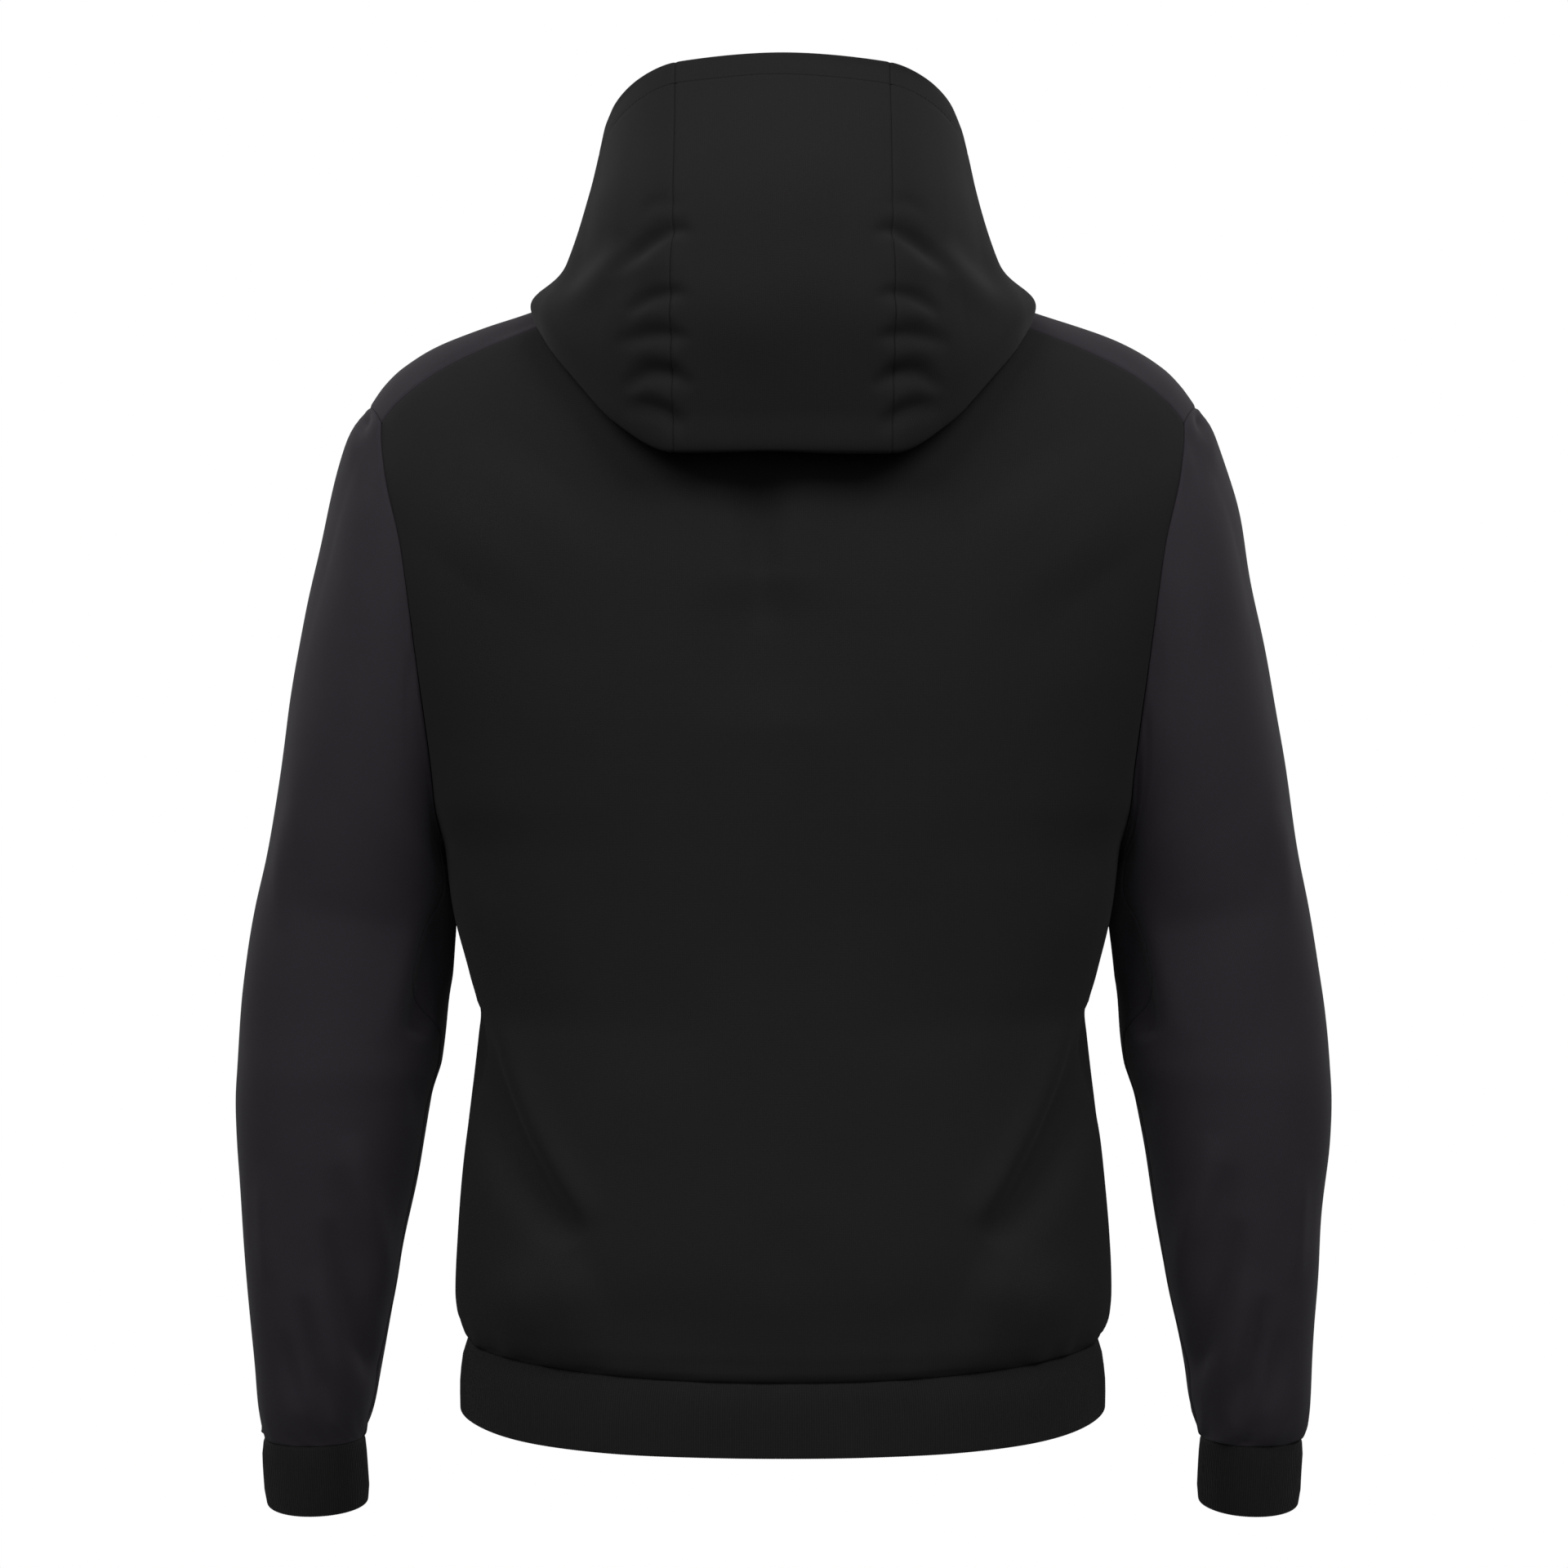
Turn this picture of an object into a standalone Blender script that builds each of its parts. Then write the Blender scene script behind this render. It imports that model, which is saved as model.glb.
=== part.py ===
"""Pullover hoodie, filled out as if worn: body, shoulder panels, sleeves, three-panel hood and ribs.

Units are metres. +Z is up, the front faces -Y and the wearer's left is +X. The origin is the middle
of the neck, at the level where the shoulders meet it. Each piece is a thin wall: a grid of points on
its outer face, the same grid moved inwards by the cloth's thickness, and a rim round its edges.
The left half is worked out, and the right half is its mirror image.
"""
import bpy
import numpy as np

COLLECTION = "hoodie"

# Cloth
FLEECE_WALL = 0.0022
RIB_WALL = 0.0026
SEAM_GAP = 0.0003
NECK_LIFT = 0.0005           # the hood starts this far off the body, as it folds back over it

# Levels and widths of the cut
UNDERARM_Z = -0.345
HEM_SEAM_Z = -0.6435
HEM_SEAM_DIP = 0.0060        # how much lower the hem seam lies behind and before than at the sides
HEM_DIP_REACH = 0.100        # how far above the hem seam that dip is felt
HEM_Z = -0.692
NECK_HALF_WIDTH = 0.090
NECK_BULGE = 0.004           # how far the neck runs outwards across the shoulder panel
BACK_NECK_DROP = 0.0075
FRONT_NECK_DROP = 0.0735
SHOULDER_SEAM_END_X = 0.2407  # where the shoulder seams meet the armhole
SHOULDER_TIP_X = 0.2525       # the armhole on top of the shoulder
CUFF_LENGTH = 0.0435
CUFF_DOWN = (-0.02, -0.17, -1.0)  # the way the forearm and cuff hang

# Roundness of the form: 2 is an ellipse, more is squarer
SECTION_POWER = 2.2
SHOULDER_POWER = 3.0

# Grid: quads along each stretch of the half garment
NECK_QUADS = 7
SHOULDER_QUADS = 7
SHOULDER_PANEL_QUADS = 4
CENTRE_PANEL_QUADS = 3

# How many quads a fold takes to die out towards a seam
PANEL_EASE_QUADS = 2.0
SLEEVE_HEAD_EASE_QUADS = 4.0
CUFF_SEAM_EASE_QUADS = 2.0

# A fold's share on cloth that lies square to the view it was drawn in, and how fast it is lost
SIDE_FOLD_SHARE = 0.2
SIDE_FOLD_GAIN = 1.5


def table(columns, *rows):
    """Named columns as arrays, from one row of numbers for each section."""
    return dict(zip(columns.split(), np.array(rows, dtype=float).T))


# The form under the cloth, by height: half width of the whole form, x of the panel's edge (side seam,
# then armhole), depth behind and before the side seams.
FORM = table(
    "z reach edge back front",
    (-0.6435, 0.1915, 0.1915, 0.1170, 0.1130),
    (-0.6375, 0.1955, 0.1955, 0.1225, 0.1185),
    (-0.6275, 0.1988, 0.1988, 0.1262, 0.1220),
    (-0.6155, 0.1998, 0.1998, 0.1275, 0.1232),
    (-0.5800, 0.1985, 0.1985, 0.1262, 0.1238),
    (-0.5195, 0.1928, 0.1928, 0.1222, 0.1228),
    (-0.4595, 0.1862, 0.1862, 0.1192, 0.1205),
    (-0.4475, 0.1848, 0.1848, 0.1190, 0.1202),
    (-0.4235, 0.1908, 0.1908, 0.1196, 0.1206),
    (-0.3875, 0.1985, 0.1985, 0.1214, 0.1220),
    (-0.3625, 0.2025, 0.2025, 0.1230, 0.1232),
    (-0.3450, 0.2062, 0.2062, 0.1242, 0.1240),
    (-0.3350, 0.2092, 0.2075, 0.1250, 0.1243),
    (-0.3200, 0.2155, 0.2086, 0.1262, 0.1246),
    (-0.3000, 0.2213, 0.2095, 0.1276, 0.1248),
    (-0.2340, 0.2435, 0.2162, 0.1312, 0.1242),
    (-0.1700, 0.2640, 0.2246, 0.1325, 0.1215),
    (-0.1200, 0.2705, 0.2370, 0.1322, 0.1185),
    (-0.0925, 0.2700, 0.2407, 0.1318, 0.1165),
    (0.0300, 0.2700, 0.2407, 0.1300, 0.1110),
)

# The top of the shoulder, from the neck outwards, and how far below it the shoulder seams lie.
SHOULDER = table(
    "x ridge seam_drop",
    (0.000, 0.0200, 0.0150),
    (0.090, 0.0005, 0.0150),
    (0.150, -0.0188, 0.0178),
    (0.180, -0.0285, 0.0198),
    (0.206, -0.0383, 0.0228),
    (0.232, -0.0532, 0.0272),
    (0.244, -0.0648, 0.0312),
    (0.2525, -0.0775, 0.0335),
    (0.262, -0.0935, 0.0350),
)

# Heights of the rows of quads at the side: side seam, then armhole.
SIDE_SEAM_ROWS = (-0.6435, -0.638, -0.630, -0.615, -0.588, -0.555, -0.520, -0.487, -0.4635,
                  -0.4475, -0.425, -0.388, -0.345)
ARMHOLE_ROWS = (-0.338, -0.326, -0.306, -0.276, -0.238, -0.198, -0.158, -0.122)

# Sleeve sections, from the shoulder down: the outer and inner ends of each ring seen from behind, its
# half depth, how far its middle lies behind the side seams, and how much of the armhole's own shape
# is left in it.
SLEEVE = table(
    "outer_x outer_z inner_x inner_z half_depth centre_y armhole_share",
    (0.2525, -0.0775, 0.2062, -0.3450, 0.0740, 0.000, 1.00),
    (0.2600, -0.0868, 0.2068, -0.3462, 0.0745, -0.001, 0.96),
    (0.2700, -0.1100, 0.2070, -0.3482, 0.0750, -0.002, 0.88),
    (0.2776, -0.1360, 0.2070, -0.3505, 0.0750, -0.003, 0.78),
    (0.2848, -0.1730, 0.2066, -0.3535, 0.0745, -0.005, 0.65),
    (0.2935, -0.2130, 0.2059, -0.3578, 0.0735, -0.007, 0.50),
    (0.3026, -0.2585, 0.2048, -0.3640, 0.0715, -0.010, 0.34),
    (0.3104, -0.3080, 0.2037, -0.3725, 0.0695, -0.016, 0.18),
    (0.3186, -0.3515, 0.2031, -0.3840, 0.0675, -0.022, 0.07),
    (0.3262, -0.3830, 0.2038, -0.4010, 0.0655, -0.026, 0.00),
    (0.3318, -0.4140, 0.2056, -0.4230, 0.0640, -0.026, 0.00),
    (0.3358, -0.4450, 0.2078, -0.4480, 0.0625, -0.026, 0.00),
    (0.3386, -0.4800, 0.2102, -0.4790, 0.0610, -0.026, 0.00),
    (0.3396, -0.5010, 0.2180, -0.5020, 0.0590, -0.027, 0.00),
    (0.3388, -0.5260, 0.2238, -0.5290, 0.0565, -0.028, 0.00),
    (0.3376, -0.5560, 0.2298, -0.5590, 0.0540, -0.031, 0.00),
    (0.3360, -0.5880, 0.2358, -0.5900, 0.0512, -0.034, 0.00),
    (0.3344, -0.6180, 0.2416, -0.6200, 0.0480, -0.037, 0.00),
    (0.3330, -0.6450, 0.2468, -0.6480, 0.0448, -0.041, 0.00),
    (0.3318, -0.6700, 0.2514, -0.6730, 0.0418, -0.045, 0.00),
    (0.3311, -0.6935, 0.2558, -0.6950, 0.0385, -0.049, 0.00),
    (0.3298, -0.7085, 0.2600, -0.7090, 0.0345, -0.052, 0.00),
    (0.3272, -0.7195, 0.2643, -0.7195, 0.0290, -0.054, 0.00),
)

# The hood, by station: 0 at the middle of the back, 1 where its edges meet at the front neck.
# The lip is the fold that hangs over the back; the rim is the edge of the hood's opening.
HOOD_LIP = table(
    "station x y z",
    (0.00, 0.0000, 0.1570, -0.1215),
    (0.17, 0.0600, 0.1535, -0.1215),
    (0.28, 0.0950, 0.1320, -0.1020),
    (0.38, 0.1230, 0.0960, -0.0700),
    (0.46, 0.1385, 0.0660, -0.0440),
    (0.53, 0.1450, 0.0370, -0.0262),
    (0.60, 0.1435, 0.0040, -0.0125),
    (0.68, 0.1325, -0.0360, -0.0200),
    (0.78, 0.1050, -0.0755, -0.0430),
    (0.89, 0.0570, -0.1000, -0.0680),
    (1.00, 0.0000, -0.1040, -0.0760),
)
HOOD_MID = table(
    "station x y z",
    (0.00, 0.0000, 0.1500, 0.0120),
    (0.17, 0.0605, 0.1415, 0.0100),
    (0.28, 0.0925, 0.1170, 0.0040),
    (0.38, 0.1150, 0.0880, -0.0020),
    (0.46, 0.1265, 0.0620, 0.0000),
    (0.53, 0.1285, 0.0360, 0.0000),
    (0.60, 0.1280, 0.0040, 0.0060),
    (0.68, 0.1190, -0.0320, 0.0040),
    (0.78, 0.0950, -0.0680, -0.0180),
    (0.89, 0.0530, -0.0970, -0.0490),
    (1.00, 0.0000, -0.1070, -0.0690),
)
HOOD_RIM = table(
    "station x y z",
    (0.00, 0.0000, 0.1060, 0.1130),
    (0.17, 0.0608, 0.0985, 0.1096),
    (0.26, 0.0860, 0.0800, 0.1030),
    (0.36, 0.1015, 0.0560, 0.0915),
    (0.46, 0.1075, 0.0320, 0.0790),
    (0.56, 0.1045, 0.0020, 0.0580),
    (0.66, 0.0945, -0.0300, 0.0300),
    (0.78, 0.0740, -0.0640, -0.0050),
    (0.90, 0.0400, -0.0920, -0.0400),
    (1.00, 0.0000, -0.1080, -0.0610),
)
# How the hood leaves the neck seam, and how round and how folded its lip is.
HOOD_FOLD = table(
    "station crest_out crest_up radius folded",
    (0.00, 0.018, 0.011, 0.0090, 1.0),
    (0.40, 0.018, 0.011, 0.0075, 1.0),
    (0.55, 0.014, 0.015, 0.0065, 1.0),
    (0.70, 0.010, 0.013, 0.0060, 0.6),
    (0.85, 0.007, 0.007, 0.0045, 0.2),
    (1.00, 0.004, 0.006, 0.0030, 0.0),
)
# Rows of quads between the hood's guides: neck, crest, lip inside, lip, lip outside, middle, rim.
HOOD_ROWS = (2, 3, 2, 2, 13, 6)

# Folds, seen square on from behind or before: where each starts and ends, how far it bows to its
# left, its half width and its height (below 0 for a trough), and how much of it is lost at its end.
BACK_FOLDS = table(
    "x0 z0 x1 z1 bow width height fade",
    (0.192, -0.470, 0.128, -0.562, -0.006, 0.020, -0.0075, 0.5),
    (0.176, -0.462, 0.112, -0.556, -0.006, 0.011, 0.0022, 0.3),
    (0.150, -0.606, 0.128, -0.590, 0.000, 0.030, 0.0035, 0.0),
    (0.022, -0.120, 0.004, -0.225, 0.000, 0.032, -0.0040, 0.6),
    (0.150, -0.165, 0.168, -0.170, 0.000, 0.042, 0.0035, 0.0),
)
FRONT_FOLDS = table(
    "x0 z0 x1 z1 bow width height fade",
    (0.190, -0.478, 0.132, -0.565, -0.005, 0.020, -0.0065, 0.5),
    (0.150, -0.608, 0.120, -0.600, 0.000, 0.028, 0.0030, 0.0),
    (0.205, -0.285, 0.150, -0.225, 0.008, 0.018, -0.0040, 0.8),
    (0.100, -0.170, 0.125, -0.175, 0.000, 0.045, 0.0035, 0.0),
)
SLEEVE_BACK_FOLDS = table(
    "x0 z0 x1 z1 bow width height fade",
    (0.208, -0.360, 0.232, -0.455, 0.006, 0.012, -0.0060, 0.2),
    (0.232, -0.455, 0.262, -0.475, 0.004, 0.014, -0.0035, 0.7),
    (0.300, -0.300, 0.302, -0.385, 0.000, 0.012, 0.0025, 0.3),
    (0.264, -0.545, 0.242, -0.635, -0.005, 0.010, -0.0040, 0.3),
    (0.283, -0.600, 0.266, -0.680, -0.004, 0.009, -0.0035, 0.2),
    (0.303, -0.650, 0.292, -0.708, 0.002, 0.008, -0.0025, 0.1),
)
SLEEVE_FRONT_FOLDS = table(
    "x0 z0 x1 z1 bow width height fade",
    (0.210, -0.440, 0.300, -0.470, -0.008, 0.013, -0.0065, 0.5),
    (0.212, -0.485, 0.290, -0.500, -0.006, 0.012, -0.0050, 0.6),
    (0.212, -0.360, 0.262, -0.250, -0.008, 0.014, -0.0045, 0.6),
    (0.300, -0.560, 0.284, -0.650, 0.004, 0.010, -0.0035, 0.3),
    (0.262, -0.620, 0.276, -0.700, 0.003, 0.009, -0.0030, 0.2),
)
# The gathers where the hood's side panels are eased into its centre panel.
HOOD_FOLDS = table(
    "x0 z0 x1 z1 bow width height fade",
    (0.060, 0.026, 0.096, 0.010, -0.003, 0.0060, -0.0012, 0.8),
    (0.055, 0.005, 0.094, -0.012, -0.004, 0.0070, -0.0034, 0.6),
    (0.056, -0.031, 0.090, -0.034, -0.002, 0.0062, -0.0028, 0.7),
    (0.056, -0.053, 0.094, -0.054, -0.002, 0.0064, -0.0030, 0.7),
    (0.056, -0.077, 0.094, -0.069, -0.003, 0.0066, -0.0034, 0.7),
    (0.056, -0.099, 0.096, -0.086, -0.004, 0.0060, -0.0026, 0.7),
    (0.100, -0.002, 0.146, -0.034, 0.005, 0.0090, 0.0030, 0.0),
)

# The soft rolls of the hood's sides where they come forward over the shoulders.
HOOD_FRONT_FOLDS = table(
    "x0 z0 x1 z1 bow width height fade",
    (0.112, -0.004, 0.070, -0.046, 0.004, 0.0090, -0.0030, 0.6),
    (0.122, -0.018, 0.062, -0.066, 0.006, 0.0080, 0.0015, 0.5),
)

# Colours, roughness: fleece is matt and dyed black or plum-grey, the ribs are black knit.
FINISHES = {
    "black_fleece": ((0.0150, 0.0143, 0.0147), 0.92),
    "plum_fleece": ((0.0370, 0.0310, 0.0365), 0.90),
    "black_rib": ((0.0135, 0.0135, 0.0135), 0.95),
}


def unit(vectors):
    """Vectors of length 1."""
    return vectors / np.linalg.norm(vectors, axis=-1, keepdims=True)


def smooth(at, xs, ys):
    """Read a smooth curve through (xs, ys) that never overshoots its rows, at the places `at`."""
    step = np.diff(xs)
    rise = np.diff(ys) / step
    before, after = rise[:-1], rise[1:]
    turns = before * after <= 0
    mean = 2 * before * after / np.where(turns, 1.0, before + after)
    slope = np.concatenate(([rise[0]], np.where(turns, 0.0, mean), [rise[-1]]))
    at = np.clip(at, xs[0], xs[-1])
    k = np.clip(np.searchsorted(xs, at, side="right") - 1, 0, len(step) - 1)
    t = (at - xs[k]) / step[k]
    start = ys[k] * (1 + 2 * t) * (1 - t) ** 2 + ys[k + 1] * t ** 2 * (3 - 2 * t)
    return start + step[k] * (slope[k] * t * (1 - t) ** 2 - slope[k + 1] * t ** 2 * (1 - t))


def ridge(x):
    """Height of the top of the shoulder."""
    return smooth(np.abs(x), SHOULDER["x"], SHOULDER["ridge"])


def seam_height(x):
    """Height of the shoulder seams, which lie before and behind the top of the shoulder."""
    return ridge(x) - smooth(np.abs(x), SHOULDER["x"], SHOULDER["seam_drop"])


def crown(x, z):
    """Share of the form's depth left at (x, z): 1 below the underarm, 0 on top of the shoulder."""
    rise = np.clip((z - UNDERARM_Z) / (ridge(x) - UNDERARM_Z), 0.0, 1.0)
    return np.sqrt(1.0 - rise ** SHOULDER_POWER)


def form_depth(x, z, side):
    """y of the form before its shoulder is rounded off; side is 1 behind and -1 before."""
    reach = smooth(z, FORM["z"], FORM["reach"])
    depth = smooth(z, FORM["z"], FORM["back" if side > 0 else "front"])
    share = np.clip(np.abs(x) / reach, 0.0, 1.0)
    return side * depth * (1.0 - share ** SECTION_POWER) ** (1.0 / SECTION_POWER)


def fold_height(folds, x, z):
    """Sum of the folds' heights at (x, z), each soft across and rounded at its ends."""
    total = np.zeros_like(x)
    for x0, z0, x1, z1, bow, width, height, fade in zip(*folds.values()):
        run = np.hypot(x1 - x0, z1 - z0)
        ux, uz = (x1 - x0) / run, (z1 - z0) / run
        along = (x - x0) * ux + (z - z0) * uz
        t = np.clip(along / run, 0.0, 1.0)
        across = (z - z0) * ux - (x - x0) * uz - 4 * bow * t * (1 - t)
        past = along - t * run
        total += height * (1 - fade * t) * np.exp(-(across ** 2 + past ** 2) / width ** 2)
    return total


def mirrored(grid):
    """The grid's mirror image across the garment's middle, its columns still running outwards."""
    return grid * np.array([-1.0, 1.0, 1.0])


def both_halves(grid):
    """Join a grid that starts on the middle plane to its mirror image, from right to left."""
    return np.concatenate((mirrored(grid)[:, :0:-1], grid), axis=1)


def corner_sums(grid, core):
    """Area-weighted normals of a grid's own quads at its points, pointing away from its core."""
    total = np.zeros_like(grid)
    face = np.cross(grid[1:, 1:] - grid[:-1, :-1], grid[:-1, 1:] - grid[1:, :-1])
    for rows in (slice(None, -1), slice(1, None)):
        for cols in (slice(None, -1), slice(1, None)):
            total[rows, cols] += face
    return total if np.sum(total * (grid - core)) > 0 else -total


def shared_normals(grids, core_of):
    """Outward normals of grids that share their seam points, so that neighbours' walls meet evenly."""
    points = np.concatenate([g.reshape(-1, 3) for g in grids])
    sums = np.concatenate([corner_sums(g, core_of(g)).reshape(-1, 3) for g in grids])
    _, place = np.unique(np.round(points, 6) + 0.0, axis=0, return_inverse=True)
    shared = np.zeros((place.max() + 1, 3))
    np.add.at(shared, place.ravel(), sums)
    normals = unit(shared[place.ravel()])
    cuts = np.cumsum([g[..., 0].size for g in grids])[:-1]
    return [n.reshape(g.shape) for n, g in zip(np.split(normals, cuts), grids)]


def upright_axis(grid):
    """The vertical axis through the neck, at each point's height: the core of the body."""
    return grid * np.array([0.0, 0.0, 1.0])


def ring_middles(grid):
    """The middle of each ring: the core of a tube."""
    return grid.mean(axis=1, keepdims=True)


def profile_middles(grid):
    """The middle of each column, which a folded-over wall runs round: the core of the hood."""
    return grid.mean(axis=0, keepdims=True)


def drawn_back(grid, tube):
    """Move a panel's edges in along the cloth by half the seam gap, square to each seam.

    A tube's first and last columns are one, so only its two ends move.
    """

    def pull(edge, inner):
        way = inner - edge
        tangent = unit(np.gradient(edge, axis=0))
        way = way - tangent * np.sum(way * tangent, axis=-1, keepdims=True)
        return unit(way) * SEAM_GAP / 2

    moved = grid.copy()
    moved[0] += pull(grid[0], grid[1])
    moved[-1] += pull(grid[-1], grid[-2])
    if not tube:
        moved[:, 0] += pull(grid[:, 0], grid[:, 1])
        moved[:, -1] += pull(grid[:, -1], grid[:, -2])
    return moved


def wall_mesh(name, outer, normals, thickness, tube):
    """A closed wall between a grid and the same grid moved inwards; a tube's columns run round."""
    rows, cols = outer.shape[:2]
    if tube:
        outer, normals, cols = outer[:, :-1], normals[:, :-1], cols - 1
    inner = outer - normals * thickness
    ids = np.arange(rows * cols).reshape(rows, cols)
    if tube:
        ids = np.concatenate((ids, ids[:, :1]), axis=1)
    far = ids + rows * cols
    skin = np.stack((ids[:-1, :-1], ids[:-1, 1:], ids[1:, 1:], ids[1:, :-1]), axis=-1).reshape(-1, 4)
    faces = [skin, skin[:, ::-1] + rows * cols]
    rims = [(ids[0], far[0]), (far[-1], ids[-1])]
    if not tube:
        rims += [(far[:, 0], ids[:, 0]), (ids[:, -1], far[:, -1])]
    for near, back in rims:
        faces.append(np.stack((near[1:], near[:-1], back[:-1], back[1:]), axis=-1))
    mesh = bpy.data.meshes.new(name)
    points = np.concatenate((outer.reshape(-1, 3), inner.reshape(-1, 3)))
    mesh.from_pydata(points.tolist(), [], np.concatenate(faces).tolist())
    mesh.shade_smooth()
    return mesh


def add_piece(name, outer, normals, thickness, material, tube=False):
    """Make one cut piece as a named object with its own material."""
    if is_left_handed(outer, normals):
        outer, normals = outer[:, ::-1], normals[:, ::-1]
    piece = bpy.data.objects.new(name, wall_mesh(name, drawn_back(outer, tube), normals, thickness, tube))
    piece.data.materials.append(material)
    bpy.data.collections[COLLECTION].objects.link(piece)
    return piece


def is_left_handed(outer, normals):
    """Whether the grid's quads, taken row by row, face away from the given normals."""
    face = np.cross(outer[:-1, 1:] - outer[:-1, :-1], outer[1:, :-1] - outer[:-1, :-1])
    return np.sum(face * normals[:-1, :-1]) < 0


def neckline(side):
    """x and z along the half neck edge of the back (side 1) or the front (side -1)."""
    angle = np.linspace(0.0, np.pi / 2, NECK_QUADS + 1)
    drop = BACK_NECK_DROP if side > 0 else FRONT_NECK_DROP
    return NECK_HALF_WIDTH * np.sin(angle), seam_height(NECK_HALF_WIDTH) - drop * np.cos(angle)


def body_panel(side):
    """Half of the back (side 1) or the front (side -1), rows from the hem up, columns to the side."""
    neck_x, neck_z = neckline(side)
    seam_x = np.linspace(NECK_HALF_WIDTH, SHOULDER_SEAM_END_X, SHOULDER_QUADS + 1)[1:]
    top_x = np.concatenate((neck_x, seam_x))
    top_z = np.concatenate((neck_z, seam_height(seam_x)))
    side_z = np.array(SIDE_SEAM_ROWS + ARMHOLE_ROWS + (float(top_z[-1]),))
    edge_x = smooth(side_z, FORM["z"], FORM["edge"])
    edge_x[-1] = SHOULDER_SEAM_END_X
    climb = np.clip((side_z - UNDERARM_Z) / (side_z[-1] - UNDERARM_Z), 0.0, 1.0)[:, None]
    turn = np.linspace(0.0, np.pi / 2, len(top_x))
    low_share = np.sin(turn) ** (2.0 / SECTION_POWER)
    share = low_share * (1 - climb) + top_x / SHOULDER_SEAM_END_X * climb
    x = share * edge_x[:, None]
    z = np.where(climb > 0, UNDERARM_Z + (top_z - UNDERARM_Z) * climb, side_z[:, None])
    y = form_depth(x, z, side) * crown(x, z)
    nearness = np.clip(1.0 - (z - HEM_SEAM_Z) / HEM_DIP_REACH, 0.0, 1.0)
    return np.stack((x, y, z - HEM_SEAM_DIP * (1 - share ** 2) * nearness ** 2), axis=-1)


def shoulder_panel(back, front):
    """The left shoulder panel, rows from its back seam over the shoulder to its front seam."""
    first, last = back[-1, NECK_QUADS:], front[-1, NECK_QUADS:]
    rows = [first]
    behind, before = crown(first[:, 0], first[:, 2]), crown(last[:, 0], last[:, 2])
    reach = np.linspace(0.0, 1.0, SHOULDER_QUADS + 1)
    for k in range(1, SHOULDER_PANEL_QUADS):
        over = 1.0 - 2.0 * k / SHOULDER_PANEL_QUADS
        side = 1.0 if over >= 0 else -1.0
        lean = abs(over) * (behind if side > 0 else before)
        bulge = (1 - over ** 2) * (NECK_BULGE * (1 - reach) + (SHOULDER_TIP_X - SHOULDER_SEAM_END_X) * reach)
        x = first[:, 0] + bulge
        height = (1.0 - lean ** 2) ** (1.0 / SHOULDER_POWER)
        z = UNDERARM_Z + (ridge(x) - UNDERARM_Z) * height
        rows.append(np.stack((x, form_depth(x, z, side) * lean, z), axis=-1))
    rows.append(last)
    return np.array(rows)


def armhole_loop(back, front, shoulder):
    """The left armhole from the top of the shoulder, down the back, and up the front to the top."""
    first_row = len(SIDE_SEAM_ROWS) - 1
    middle = SHOULDER_PANEL_QUADS // 2
    down = back[first_row:, -1][::-1]
    up = front[first_row:, -1]
    return np.concatenate((shoulder[middle:0:-1, -1], down, up[1:], shoulder[-2:middle - 1:-1, -1]))


def left_sleeve(armhole):
    """Rings from the armhole to the cuff seam; each ring starts at its outer side."""
    top, under = armhole[0], armhole[len(armhole) // 2]
    chord = top - under
    length = np.hypot(chord[0], chord[2])
    ux, uz = chord[0] / length, chord[2] / length
    share = ((armhole[:, 0] - under[0]) * ux + (armhole[:, 2] - under[2]) * uz) / length
    aside = (armhole[:, 0] - under[0]) * uz - (armhole[:, 2] - under[2]) * ux
    steps = np.linalg.norm(np.diff(armhole, axis=0), axis=1)
    half = len(armhole) // 2
    way = np.concatenate(([0.0], np.cumsum(steps)))
    turn = np.where(np.arange(len(armhole)) <= half, way / way[half],
                    1 + (way - way[half]) / (way[-1] - way[half])) * np.pi
    rings = []
    for ox, oz, ix, iz, depth, middle, own in zip(*SLEEVE.values()):
        across = own * share + (1 - own) * (1 + np.cos(turn)) / 2
        deep = own * armhole[:, 1] * depth / SLEEVE["half_depth"][0] + (1 - own) * depth * np.sin(turn)
        run = np.hypot(ox - ix, oz - iz)
        lx, lz = (ox - ix) / run, (oz - iz) / run
        x = ix + (ox - ix) * across + own * aside * lz
        z = iz + (oz - iz) * across - own * aside * lx
        rings.append(np.stack((x, middle + deep, z), axis=-1))
    return np.array(rings)


def seam_ease(grid):
    """0 along a panel's four edges and 1 further in, to keep its folds off its seams."""
    down, across = (np.minimum(np.arange(n), np.arange(n)[::-1]) for n in grid.shape[:2])
    along = np.clip(down[:, None] / PANEL_EASE_QUADS, 0.0, 1.0)
    return along * np.clip(across / PANEL_EASE_QUADS, 0.0, 1.0)


def folded(grid, normals, behind, before):
    """Raise the folds seen from behind on the cloth that faces back, and the others before."""
    height = 0.0
    for folds, facing in ((behind, normals[..., 1]), (before, -normals[..., 1])):
        share = np.clip(SIDE_FOLD_SHARE + SIDE_FOLD_GAIN * facing, 0.0, 1.0)
        height = height + fold_height(folds, np.abs(grid[..., 0]), grid[..., 2]) * share
    return grid + normals * height[..., None]


def left_cuff(sleeve_end):
    """Rings of the cuff, straight on from the sleeve's last ring along its own lean."""
    middle = sleeve_end[:-1].mean(axis=0)
    down = unit(np.array(CUFF_DOWN))
    profile = table("along size", (0.0, 1.0), (0.30, 1.03), (0.75, 1.03), (1.0, 0.99))
    return np.array([middle + down * CUFF_LENGTH * along + (sleeve_end - middle) * size
                     for along, size in zip(*profile.values())])


def hem_ring(back, front):
    """The loop that the body's lower edges make, from the middle of the front round to it again."""
    left = np.concatenate((front[0], back[0, -2::-1]))
    return np.concatenate((left, mirrored(left)[-2::-1]))


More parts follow.
